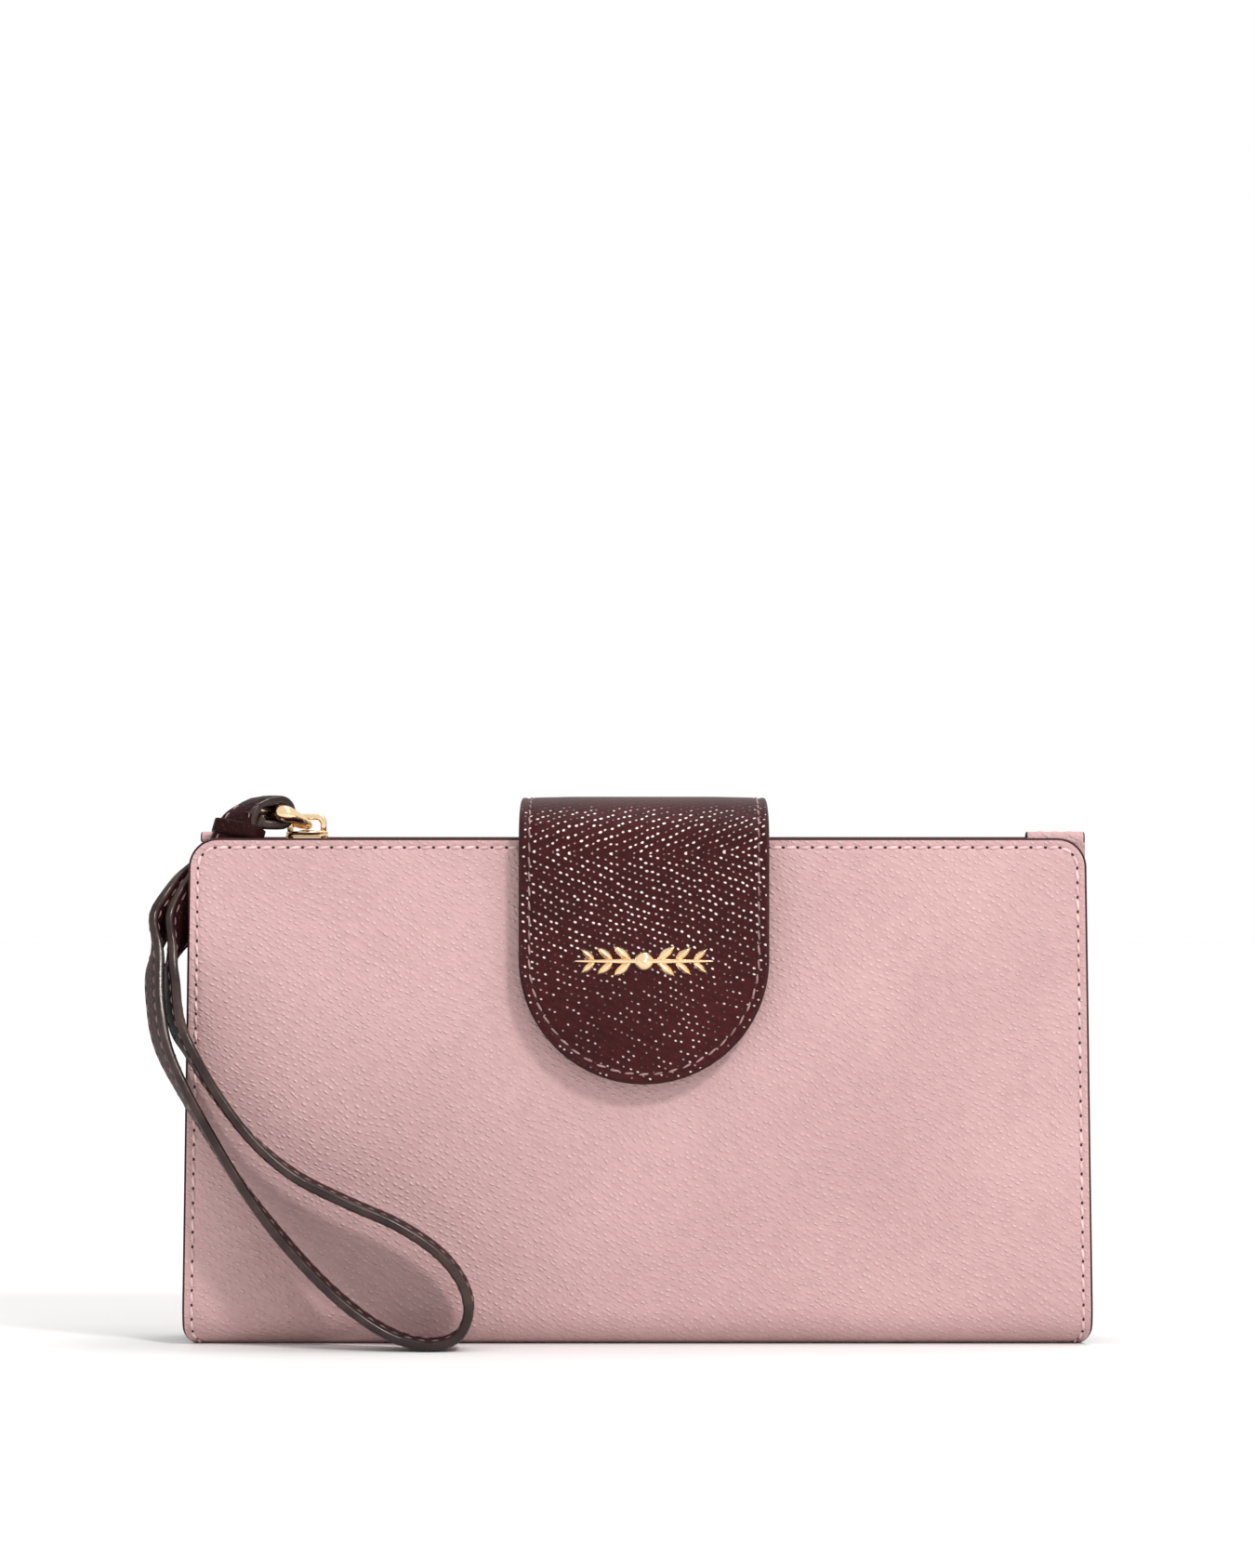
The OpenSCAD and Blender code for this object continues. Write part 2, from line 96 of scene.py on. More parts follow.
# Sizes that the CAD boxes don't give directly
TOP_NARROWER = 1.3 * MM
CORNER_R = 5.5 * MM
BASE_CORNER_R = 6 * MM
STITCH_PITCH = 2.75 * MM
COVER_STITCH_INSET = 1.8 * MM
FLAP_STITCH_INSET = 2.0 * MM
STRAP_W = 10 * MM
FLAP_GRAIN_FOLD = 77.5 * MM
STRAP_T = 1.9 * MM
STRAP_END_W = 7.2 * MM
STRAP_STEPS = 6
STRAP_TAPER = 27
KEEPER_RING = 9

# The strap's middle line, as in the CAD source: x, y, z in millimetres, and the turn of the
# strap's width from +Y towards +X in degrees.
STRAP_ROUTE = [
    (-73.4, -5.6, 101.8, 150), (-75.4, -7.0, 99.2, 122), (-76.6, -7.9, 95.4, 98),
    (-78.2, -8.1, 91.2, 89), (-81.2, -8.0, 86.2, 84), (-85.7, -8.5, 80.4, 47),
    (-88.0, -10.6, 74.0, -1), (-87.9, -13.2, 68.0, -12), (-87.0, -16.4, 62.5, -15),
    (-84.6, -19.5, 57.0, -12), (-79.5, -20.5, 48.5, -8), (-72.5, -21.5, 39.5, -5),
    (-64.0, -22.0, 32.5, 0), (-54.0, -22.5, 27.5, 0), (-45.0, -22.5, 23.5, 0),
    (-37.5, -22.5, 18.5, 0), (-33.0, -22.5, 13.0, 0), (-31.6, -22.5, 7.5, 0),
    (-33.5, -22.5, 2.8, 0), (-38.5, -22.5, 1.1, 0), (-45.0, -22.5, 2.4, 0),
    (-52.0, -22.5, 6.5, 0), (-59.5, -22.3, 13.0, 0), (-67.5, -22.0, 21.8, 0),
    (-74.5, -21.5, 31.0, -5), (-80.5, -20.5, 40.5, -8), (-85.5, -19.5, 49.0, -12),
    (-89.3, -17.0, 57.0, -16), (-90.9, -14.1, 65.0, -16), (-91.1, -11.0, 73.0, -12),
    (-89.9, -7.9, 80.6, 28), (-82.9, -5.9, 86.6, 81), (-78.2, -5.7, 91.2, 89),
    (-76.3, -5.6, 95.0, 98), (-74.3, -5.2, 98.0, 122), (-71.9, -4.7, 100.2, 150)]


# ---- camera, light and floor

CAMERA_HEIGHT = 106 * MM
CAMERA_X = -1.9 * MM
CAMERA_DISTANCE = 1.2
VIEW_HEIGHT = 0.296
SENSOR = 36


def link(obj):
    """Adds an object to the scene."""
    bpy.context.scene.collection.objects.link(obj)
    return obj


def make_camera():
    data = bpy.data.cameras.new("camera")
    data.sensor_width = SENSOR
    data.lens = SENSOR * CAMERA_DISTANCE / VIEW_HEIGHT
    camera = link(bpy.data.objects.new("camera", data))
    camera.location = (CAMERA_X, -HALF - CAMERA_DISTANCE, CAMERA_HEIGHT)
    camera.rotation_euler = (math.pi / 2, 0, 0)
    bpy.context.scene.camera = camera


def area_light(name, location, target, size, power, tint=(1, 1, 1)):
    data = bpy.data.lights.new(name, "AREA")
    data.shape = "RECTANGLE"
    data.size, data.size_y = size
    data.energy = power
    data.color = tint
    light = link(bpy.data.objects.new(name, data))
    light.location = location
    aim = Vector(target) - Vector(location)
    light.rotation_euler = aim.to_track_quat("-Z", "Y").to_euler()


def make_studio():
    bpy.context.scene.view_settings.view_transform = "Standard"
    world = bpy.data.worlds.new("studio")
    bpy.context.scene.world = world
    world.use_nodes = True
    background = world.node_tree.nodes["Background"]
    background.inputs["Color"].default_value = (1, 1, 1, 1)
    background.inputs["Strength"].default_value = 1.0
    middle = (0, 0, COVER_H / 2)
    area_light("key", (0.42, -0.75, 0.8), middle, (0.14, 0.14), 6.5, (1, 0.975, 0.95))
    area_light("top", (0.15, 0.05, 0.9), middle, (0.5, 0.3), 2.0)
    bpy.ops.mesh.primitive_plane_add(size=6, location=(0, 0, 0))
    floor = bpy.context.object
    floor.name = "floor"
    floor.data.materials.append(FLOOR)


# ---- materials

class Nodes:
    """A material's node tree, with short calls to add and link nodes."""

    def __init__(self, name):
        self.material = bpy.data.materials.new(name)
        self.material.use_nodes = True
        self.tree = self.material.node_tree
        self.shader = self.tree.nodes["Principled BSDF"]

    def put(self, socket, value):
        if isinstance(value, bpy.types.NodeSocket):
            self.tree.links.new(value, socket)
        else:
            socket.default_value = value

    def add(self, kind, *values, **inputs):
        node = self.tree.nodes.new("ShaderNode" + kind)
        for socket, value in zip(node.inputs, values):
            self.put(socket, value)
        for key, value in inputs.items():
            self.put(node.inputs[key], value)
        return node

    def math(self, operation, a, b=0.0, kind="Math"):
        node = self.add(kind, a, b)
        node.operation = operation
        return node.outputs[0]

    def plus(self, a, b):
        return self.math("ADD", a, b)

    def times(self, a, b):
        return self.math("MULTIPLY", a, b)

    def vector(self, operation, a, b):
        return self.math(operation, a, b, "VectorMath")

    def split(self, vector):
        return self.add("SeparateXYZ", vector).outputs

    def joined(self, x, y):
        return self.add("CombineXYZ", x, y).outputs[0]

    def place(self, kind="Object"):
        return self.add("TexCoord").outputs[kind]

    def mapped(self, coordinates, scale=(1, 1, 1), turn=(0, 0, 0)):
        return self.add("Mapping", Vector=coordinates, Scale=scale, Rotation=turn).outputs[0]

    def noise(self, coordinates, scale, detail, rough=0.5, kind="Fac"):
        return self.add("TexNoise", Vector=coordinates, Scale=scale, Detail=detail,
                        Roughness=rough).outputs[kind]

    def smooth(self, *values):
        """A value taken smoothly from the range low, high to another range, or to 0, 1."""
        node = self.add("MapRange", *values)
        node.interpolation_type = "SMOOTHSTEP"
        return node.outputs[0]

    def mix(self, share, *colours):
        node = self.add("Mix", share)
        node.data_type = "RGBA"
        for socket, colour in zip(node.inputs[6:8], colours):
            self.put(socket, (*colour, 1) if isinstance(colour, tuple) else colour)
        return node.outputs[2]

    def bump(self, height, distance):
        return self.add("Bump", Height=height, Distance=distance).outputs[0]

    def set(self, **values):
        for key, value in values.items():
            self.put(self.shader.inputs[key.replace("_", " ")], value)
        return self.material


def crossgrain(name, deep, base, light, rough, depth, uv=True, gloss=0.4, fold=0.0, slope=30,
               cell=(700, 850), blur=0.5, highlight_share=0.5):
    """Leather embossed with slanting rows of small raised bumps, longer along the row.

    The rows fall at slope degrees and turn over at the distance fold along the piece, where it
    bends towards the top; away from there the bumps grow lower, and the painted highlight on them
    fainter. cell gives the bumps per metre along and across the rows, blur how irregular they are.
    light is the colour of a painted highlight on the bumps' tops, and the last argument how
    strongly it is painted."""
    n = Nodes(name)
    flat = n.place("UV") if uv else n.mapped(n.place(), turn=(-math.pi / 2, 0, 0))
    drift = n.vector("SUBTRACT", n.noise(flat, 55, 2, kind="Color"), (0.5, 0.5, 0.5))
    warped = n.vector("ADD", flat, n.vector("MULTIPLY", drift, (0.009 * blur, 0.009 * blur, 0)))
    # Away from the fold the bumps grow lower, down to 0.25 over the top and the back and to 0.63
    # further down the front; the painted highlight on their tops fades with them.
    worn = 1.0
    if fold:
        x, y, _ = n.split(warped)
        warped = n.joined(x, n.math("ABSOLUTE", n.math("SUBTRACT", y, fold)))
        worn = n.times(n.smooth(y, fold - 0.014, fold - 0.007, 0.25, 1.0),
                       n.smooth(y, fold + 0.006, fold + 0.03, 1.0, 0.63))
    rows = n.mapped(n.mapped(warped, turn=(0, 0, math.radians(-slope))), (*cell, 1))
    x, y, _ = n.split(rows)
    row = n.math("FLOOR", y)
    along = n.plus(x, n.times(row, 0.37))
    seed = n.joined(n.math("FLOOR", along), row)
    luck = n.split(n.add("TexWhiteNoise", Vector=seed).outputs["Color"])
    squares = []
    for place, share, narrow in ((along, luck[0], 1.0), (y, luck[1], 1.7)):
        middle = n.plus(n.times(share, blur), 0.5 - blur / 2)
        offset = n.times(n.math("SUBTRACT", n.math("FRACT", place), middle), narrow)
        squares.append(n.math("POWER", n.math("ABSOLUTE", offset), 2.0))
    reach = n.math("SQRT", n.plus(*squares))
    dome = n.times(n.smooth(reach, 0.05, 0.48, 1.0, 0.0),
                   n.smooth(luck[2], 0.0, 1.0, 0.45, 1.0))
    dome = n.times(dome, worn)
    creases = n.noise(n.vector("MULTIPLY", rows, (0.5, 1.4, 1.0)), 1.0, 3, 0.6)
    fine = n.noise(flat, 4200, 3)
    height = n.plus(n.plus(dome, n.times(creases, 0.9 * blur)), n.times(fine, 0.14))
    patch = n.noise(flat, 26, 3)
    # Painted shade mixed with real tone: the colour follows the creases' height, darker where they
    # lie low, and also varies in random patches.
    tone = n.plus(n.times(creases, 0.55), n.times(patch, 0.5))
    colour = n.mix(n.smooth(tone, 0.35, 0.72), deep, base)
    # Painted highlight: the bumps' tops are mixed towards the light colour, as strongly as the
    # last argument says, a little less in random patches.
    top = n.times(n.smooth(dome, 0.3, 0.8, 0.0, highlight_share), n.smooth(patch, 0.3, 0.6, 0.55, 1.0))
    roughness = n.plus(n.times(dome, -0.1), n.plus(n.times(fine, 0.1), rough))
    return n.set(Base_Color=n.mix(top, colour, light), Roughness=roughness,
                 Normal=n.bump(height, depth), Specular_IOR_Level=gloss)


def smooth_leather(name, dark, base, rough):
    """Fine pebbled leather for linings, pockets and worn undersides."""
    n = Nodes(name)
    place = n.place()
    grain = n.add("TexVoronoi", Vector=place, Scale=1500.0).outputs["Distance"]
    patch = n.noise(place, 90, 4)
    return n.set(Base_Color=n.mix(n.smooth(patch, 0.3, 0.7), dark, base),
                 Roughness=n.smooth(patch, 0.2, 0.8, rough - 0.08, rough + 0.1),
                 Normal=n.bump(grain, 0.00006))


def patchy(name, dark, base, patch, fade, rough, grain, depth, stretch=(1, 1, 1), **more):
    """A material that changes in soft patches between two colours, under a fine uneven grain.

    patch and grain are (scale, detail), fade and rough are ranges as smooth takes them."""
    n = Nodes(name)
    place = n.place()
    fine = n.noise(n.mapped(place, stretch), *grain)
    soft = n.noise(place, *patch)
    return n.set(Base_Color=n.mix(n.smooth(soft, *fade), dark, base),
                 Roughness=n.smooth(soft, *rough), Normal=n.bump(fine, depth), **more)


def edge_paint(name, dark, base, rough, gloss):
    """The thick, slightly uneven paint on a cut leather edge."""
    return patchy(name, dark, base, (160, 4), (0.35, 0.75), (0.2, 0.8, rough - 0.06, rough + 0.16),
                  (700, 3), 0.00006, Specular_IOR_Level=gloss)


def thread_material(name, dark, base):
    return patchy(name, dark, base, (300, 2), (0.3, 0.7), (0, 1, 0.62, 0.62), (3600, 2), 0.00009)


def gold_metal(name, base, rough):
    return patchy(name, base, tuple(c * 0.86 for c in base), (240, 3), (0.3, 0.8),
                  (0.25, 0.75, rough, rough + 0.1), (420, 3), 0.00001, (1, 6, 6), Metallic=1.0)


def woven(name, dark, base, pitch):
    """Plain woven cloth: two crossing sets of rounded threads."""
    n = Nodes(name)
    place = n.place()
    x, y, z = n.split(place)
    across, along = (n.math("SINE", n.times(d, math.pi / pitch)) for d in (x, n.plus(y, z)))
    height = n.smooth(n.times(across, along), -1, 1)
    # Painted shade mixed with random tone: the cloth is darker where the weave lies low between
    # the threads.
    tone = n.plus(n.times(height, 0.6), n.times(n.noise(place, 2400, 3), 0.4))
    return n.set(Base_Color=n.mix(tone, dark, base), Roughness=0.85,
                 Normal=n.bump(height, 0.00012))


def board_material():
    n = Nodes("board")
    fibres = n.noise(n.mapped(n.place(), (1, 8, 8)), 500, 4)
    return n.set(Base_Color=n.mix(fibres, (0.05, 0.018, 0.018), (0.10, 0.045, 0.04)),
                 Roughness=0.8, Normal=n.bump(fibres, 0.00005))


def floor_material():
    """Pale paper with a painted shadow: a touch darker near the wallet, so that its shadow shows.
    """
    n = Nodes("floor")
    place = n.place()
    near = n.add("TexGradient", n.vector("MULTIPLY", place, (1.6, 1.6, 1.6)))
    near.gradient_type = "SPHERICAL"
    close = n.smooth(near.outputs["Fac"], 0.15, 0.7)
    share = n.times(close, n.plus(n.times(n.noise(place, 40, 3), 0.1), 0.95))
    return n.set(Base_Color=n.mix(share, (1, 1, 1), (0.80, 0.795, 0.79)), Roughness=0.7,
                 Specular_IOR_Level=0.2)


# The third colour of each crossgrain leather here is the painted highlight on its bumps' tops; on
# the oxblood flap it is near white, a painted glint.
PINK_LOOK = ((0.452, 0.278, 0.276), (0.552, 0.350, 0.347), (0.74, 0.53, 0.51), 0.5)
PINK = crossgrain("pink_crossgrain", *PINK_LOOK, 0.00018)
PINK_INSIDE = crossgrain("pink_crossgrain_inside", *PINK_LOOK, 0.00012, uv=False)
OXBLOOD = crossgrain("oxblood_crossgrain", (0.027, 0.0042, 0.0048), (0.056, 0.0085, 0.0095),
                     (1.0, 0.88, 0.85), 0.38, 0.00022, gloss=0.1, fold=FLAP_GRAIN_FOLD,
                     slope=23, cell=(800, 700), blur=0.3, highlight_share=1.0)
OXBLOOD_STRAP = crossgrain("oxblood_strap", (0.014, 0.0035, 0.0035), (0.028, 0.007, 0.0075),
                           (0.07, 0.03, 0.03), 0.46, 0.00006, gloss=0.05)
LINING = smooth_leather("lining_leather", (0.040, 0.011, 0.013), (0.065, 0.018, 0.020), 0.48)
POCKET = crossgrain("pocket_crossgrain", (0.045, 0.013, 0.015), (0.08, 0.024, 0.026),
                    (0.16, 0.06, 0.06), 0.42, 0.00014, uv=False)
EDGE_DARK = edge_paint("edge_dark", (0.026, 0.006, 0.007), (0.050, 0.012, 0.013), 0.42, 0.14)
EDGE_TAUPE = edge_paint("edge_taupe", (0.019, 0.0095, 0.008), (0.050, 0.028, 0.023), 0.18, 0.3)
THREAD_PINK = thread_material("thread_pink", (0.56, 0.36, 0.36), (0.76, 0.54, 0.53))
THREAD_MAUVE = thread_material("thread_mauve", (0.17, 0.085, 0.088), (0.33, 0.20, 0.20))
# Painted shade: the dark colour of the small discs that stand for needle holes.
HOLE_SHADE = smooth_leather("needle_hole_shade", (0.018, 0.006, 0.007), (0.04, 0.014, 0.014), 0.85)
GOLD = gold_metal("pale_gold", (0.93, 0.68, 0.42), 0.12)
CLOTH = woven("lining_cloth", (0.06, 0.018, 0.02), (0.13, 0.045, 0.05), 0.0004)
TAPE = woven("zip_tape_cloth", (0.035, 0.011, 0.012), (0.085, 0.03, 0.032), 0.0005)
BOARD = board_material()
FLOOR = floor_material()


# ---- mesh helpers

def make_object(name, points, faces, materials, face_material=None, uvs=None, smooth=True):
    """A mesh object from points and faces. uvs are per point, in metres."""
    mesh = bpy.data.meshes.new(name)
    mesh.from_pydata([tuple(p) for p in points], [], faces)
    for material in materials:
        mesh.materials.append(material)
    if face_material is not None:
        mesh.polygons.foreach_set("material_index", face_material)
    mesh.polygons.foreach_set("use_smooth", [smooth] * len(mesh.polygons))
    if uvs is not None:
        layer = mesh.uv_layers.new(name="flat").data
        corners = np.zeros(len(mesh.loops), np.int32)
        mesh.loops.foreach_get("vertex_index", corners)
        layer.foreach_set("uv", np.asarray(uvs, float)[corners].ravel())
    bm = bmesh.new()
    bm.from_mesh(mesh)
    bmesh.ops.recalc_face_normals(bm, faces=bm.faces)
    bm.to_mesh(mesh)
    bm.free()
    mesh.update()
    return link(bpy.data.objects.new(name, mesh))


def rings(n, k, closed=False, first=0):
    """The faces of a skin over n rings of k points each, with caps if it isn't closed."""
    faces = []
    for i in range(n if closed else n - 1):
        a, b = first + i * k, first + (i + 1) % n * k
        faces += [(a + j, a + (j + 1) % k, b + (j + 1) % k, b + j) for j in range(k)]
    if not closed:
        last = first + (n - 1) * k
        faces += [tuple(range(first, first + k))[::-1], tuple(range(last, last + k))]
    return faces


def headings(line, closed=False):
    """The direction of a line of points at each of them."""
    n = len(line)
    return [(line[(i + 1) % n if closed else min(i + 1, n - 1)]
             - line[i - 1 if closed or i else 0]).normalized() for i in range(n)]


def settle(piece, body, slot, *nodes):
    """Says which body a new piece rides and the CAD nodes it replaces; slot is not used."""
    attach(piece, body)
    if nodes:
        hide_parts(*nodes)


def soften(obj, width, segments=3, angle=40):
    """Rounds a hard piece's edges with a bevel."""
    bevel = obj.modifiers.new("soft edges", "BEVEL")
    bevel.width = width
    bevel.segments = segments
    bevel.limit_method = "ANGLE"
    bevel.angle_limit = math.radians(angle)
    return obj


def keep_node(node, material, bevel=0.0):
    """Shows a CAD node as it is, with a better material and soft edges."""
    obj = frame["nodes"][node]
    obj.data.materials.clear()
    obj.data.materials.append(material)
    if bevel:
        weld = obj.modifiers.new("weld", "WELD")
        weld.merge_threshold = 0.00001
        soften(obj, bevel, 2)


class Sheet:
    """A strip of leather that follows a line in the y-z plane and is symmetric about x = x0.

    start and end are where the strip ends along the line, base gives its half width there, and
    r0 and r1 are the radii of its corners at the start and the end."""

    def __init__(self, line, x0, base, start=0.0, end=None, r0=0.0, r1=0.0):
        self.line = np.array(line, float)
        step = np.linalg.norm(np.diff(self.line, axis=0), axis=1)
        self.s = np.concatenate([[0], np.cumsum(step)])
        self.x0, self.base, self.start = x0, base, start
        self.end = self.s[-1] if end is None else end
        self.r0, self.r1 = r0, r1
        tangent = np.gradient(self.line, self.s, axis=0)
        tangent /= np.linalg.norm(tangent, axis=1)[:, None]
        self.normal = np.stack([tangent[:, 1], -tangent[:, 0]], 1)

    def half_width(self, s, inset=0.0):
        w = self.base(s) - inset
        for d, r in ((s - self.start, self.r0), (self.end - s, self.r1)):
            if r > 0 and d < r:
                w = self.base(s) - r + math.sqrt(max((r - inset) ** 2 - (r - d) ** 2, 0.0))
        return max(w, 0.00002)

    def edge_distance(self, s, x):
        """How far a point of the strip lies from its outline."""
        side = self.base(s) - abs(x)
        near = side
        for d, r in ((s - self.start, self.r0), (self.end - s, self.r1)):
            if r > 0:
                corner = r - math.hypot(r - side, r - d) if side < r and d < r else min(side, d)
                near = min(near, corner)
        return near

    def at(self, s):
        """The line's y and z at a distance along it, and its normal's."""
        return [np.interp(s, self.s, a) for a in (*self.line.T, *self.normal.T)]

    def point(self, s, x, depth=0.0):
        y, z, ny, nz = self.at(s)
        size = math.hypot(ny, nz)
        return (self.x0 + x, y - depth * ny / size, z - depth * nz / size)

    def normal_at(self, s):
        return Vector((0, *self.at(s)[2:])).normalized()

    def rows(self, step, extra=()):
        """Places along the strip, close together in its round corners."""
        places = {self.start, self.end, *extra}
        for r, sign, from_ in ((self.r0, 1, self.start), (self.r1, -1, self.end)):
            for k in range(1, 15):
                places.add(from_ + sign * r * (1 - math.cos(k * math.pi / 28)))
        n = max(2, round((self.end - self.start) / step))
        for k in range(n + 1):
            s = self.start + (self.end - self.start) * k / n
            if all(abs(s - p) > step * 0.3 for p in places):
                places.add(s)
        return sorted(p for p in places if self.start - 1e-9 <= p <= self.end + 1e-9)


EDGE_STEPS = 6
COVER_PAINT = 0.42 * MM
FLAP_PAINT = 0.55 * MM
TAB_PAINT = 0.3 * MM
NEAR_EDGE = [0.0, 0.5, 1.0, 1.4, 1.8, 2.2, 2.7, 3.4, 4.6, 7.0]


def columns(half, middle):
    """Shares of the half width, from -1 to 1, close together near the edges."""
    near = [1 - d * MM / half for d in NEAR_EDGE if d * MM < half * 0.6]
    inner = near[-1]
    right = near + [inner * (1 - k / middle) for k in range(1, middle)]
    return [-u for u in right] + [0.0] + right[::-1]


def shell(name, sheet, thick, rows, cols, materials, paint, flush=(False, False), shape=None):
    """A leather strip with thickness and rounded, painted edges.

    flush says which ends are cut square because the next piece goes on from there; the cut has
    its own points, so that it doesn't shade the faces beside it. shape moves the outer face out
    by so much at (s, x). paint is how far the edge's paint comes in over the face. Materials are
    those of the face, the edge and the back."""
    lo_on, hi_on = (0.0 if f else 1.0 for f in flush)
    n, m = len(rows), len(cols)
    points, uvs, faces, kinds = [], [], [], []

    def put(i, k, inset, depth, lift=False):
        a, b = sheet.start + inset * lo_on, sheet.end - inset * hi_on
        share = (rows[i] - sheet.start) / (sheet.end - sheet.start)
        s = a + (b - a) * share
        x = cols[k] * sheet.half_width(s, inset)
        points.append(sheet.point(s, x, depth - shape(s, x) if lift else depth))
        uvs.append((sheet.x0 + x, s))

    for depth, lift in ((0.0, shape is not None), (thick, False)):
        for i in range(n):
            for k in range(m):
                put(i, k, paint, depth, lift)
    grid = n * m
    for i in range(n - 1):
        for k in range(m - 1):
            a = i * m + k
            faces.append((a, a + 1, a + m + 1, a + m))
            kinds.append(0)
            faces.append((grid + a, grid + a + m, grid + a + m + 1, grid + a + 1))
            kinds.append(2)
    ring = [(0, k) for k in range(m)] + [(i, m - 1) for i in range(1, n)]
    ring += [(n - 1, k) for k in range(m - 2, -1, -1)] + [(i, 0) for i in range(n - 2, 0, -1)]
    loops = [[i * m + k for i, k in ring]]
    for j in range(1, EDGE_STEPS):
        turn = math.pi * j / EDGE_STEPS
        first = len(points)
        for i, k in ring:
            put(i, k, paint * (1 - math.sin(turn)), thick / 2 * (1 - math.cos(turn)))
        loops.append(list(range(first, first + len(ring))))
    loops.append([grid + i * m + k for i, k in ring])
    cut = [i for i, on in ((0, lo_on), (n - 1, hi_on)) if not on]
    twins = {}

    def cut_point(j, q):
        index = loops[j][q]
        if 0 < j < EDGE_STEPS and 0 < ring[q][1] < m - 1:
            return index
        if index not in twins:
            twins[index] = len(points)
            points.append(points[index])
            uvs.append(uvs[index])
        return twins[index]

    for j in range(EDGE_STEPS):
        for q in range(len(ring)):
            r = (q + 1) % len(ring)
            corners = ((j, q), (j + 1, q), (j + 1, r), (j, r))
            if ring[q][0] == ring[r][0] and ring[q][0] in cut:
                faces.append(tuple(cut_point(*corner) for corner in corners))
            else:
                faces.append(tuple(loops[a][b] for a, b in corners))
            kinds.append(1)
    return make_object(name, points, faces, materials, kinds, uvs)


STITCH_R = 0.31 * MM
FINE_STITCH_R = 0.2 * MM
STITCH_SIDES = 6
STITCH_STEPS = 6
HOLE_SIDES = 8


def stitches(name, stations, thread, pitch=STITCH_PITCH, radius=STITCH_R, slant=0.12):
    """A row of sewn stitches with a needle hole at each end, drawn as a small dark disc of painted
    shade.

    stations are (point, normal) pairs along the seam; a stitch lies along each stretch of pitch
    metres, dips into the leather at its ends, and slants a little, as machine stitches do."""
    table = np.array([(*p, *q) for p, q in stations], float)
    steps = np.linalg.norm(np.diff(table[:, :3], axis=0), axis=1)
    s = np.concatenate([[0], np.cumsum(steps)])
    count = max(1, int(s[-1] / pitch))
    points, faces, kinds = [], [], []

    def at(d):
        """The seam's point, normal, direction and side at a distance along it."""
        here, ahead = ([np.interp(min(max(q, 0.0), s[-1]), s, a) for a in table.T]
                       for q in (d, d + 0.05 * MM))
        p, up = Vector(here[:3]), Vector(here[3:]).normalized()
        along = Vector(ahead[:3]) - p
        along = along.normalized() if along.length > 1e-9 else Vector((1, 0, 0))
        return p, up, along, up.cross(along).normalized()

    for i in range(count):
        begin = (s[-1] - count * pitch) / 2 + i * pitch
        first = len(points)
        for j in range(STITCH_STEPS + 1):
            t = j / STITCH_STEPS
            p, up, along, side = at(begin + pitch * (0.1 + 0.8 * t))
            bow = math.sin(math.pi * t)
            centre = p + up * (radius * (-0.7 + 1.25 * bow)) + side * (slant * MM * (t - 0.5) * 2)
            size = radius * (0.45 + 0.55 * bow ** 0.5)
            points += [centre + q for q in circle(STITCH_SIDES, side * size, up * size)]
        faces += rings(STITCH_STEPS + 1, STITCH_SIDES, first=first)
        kinds += [0] * (STITCH_STEPS * STITCH_SIDES + 2)
        # The needle hole: a small disc in the dark colour, painted shade of the hole.
        p, up, along, side = at(begin)
        first = len(points)
        for ring, lift in ((1.0, 0.12), (0.6, 0.3)):
            centre, size = p + up * (lift * radius), radius * 1.02 * ring
            points += [centre + q for q in circle(HOLE_SIDES, side * size, along * size)]
        points += [p + up * radius * 0.3, p - up * radius * 0.5]
        inner, middle, under = first + HOLE_SIDES, first + 2 * HOLE_SIDES, len(points) - 1
        for k in range(HOLE_SIDES):
            j = (k + 1) % HOLE_SIDES
            faces += [(first + k, first + j, inner + j, inner + k), (inner + k, inner + j, middle),
                      (first + j, first + k, under)]
        kinds += [1] * 3 * HOLE_SIDES
    return make_object(name, points, faces, [thread, HOLE_SHADE], kinds)


def circle(sides, a, b):
    """Points round the middle of a circle spanned by two vectors."""
    turns = (2 * math.pi * k / sides for k in range(sides))
    return [a * math.cos(turn) + b * math.sin(turn) for turn in turns]


def tube(name, line, radii, sides, closed=False, up=(0, 0, 1)):
    """A gold rod of changing radius along a line of points."""
    points = []
    for p, along, r in zip(line, headings(line, closed), radii):
        side = Vector(up).cross(along).normalized()
        rise = along.cross(side).normalized()
        points += [p + q for q in circle(sides, side * r, rise * r)]
    return make_object(name, points, rings(len(line), sides, closed), [GOLD])


def lathe(name, profile, centre, axis, sides=48):
    """A turned gold piece: profile is (distance from the axis, distance along it) in mm."""
    axis = Vector(axis).normalized()
    side = axis.orthogonal().normalized()
    rise = axis.cross(side)
    points = []
    for r, h in profile:
        middle = Vector(centre) + axis * (h * MM)
        points += [middle + q for q in circle(sides, side * (r * MM), rise * (r * MM))]
    return make_object(name, points, rings(len(profile), sides, True), [GOLD])


def plate(name, outline, near, far, bevel, upright=False):
    """A flat gold plate with rounded edges, lying in the x-y plane or upright in x-z."""
    n = len(outline)
    points = [(u, level, v) if upright else (u, v, level)
              for level in (near, far) for u, v in outline]
    faces = [tuple(range(n)), tuple(range(n, 2 * n))[::-1]]
    faces += [(k, (k + 1) % n, n + (k + 1) % n, n + k) for k in range(n)]
    return soften(make_object(name, points, faces, [GOLD]), bevel, 3, 30)


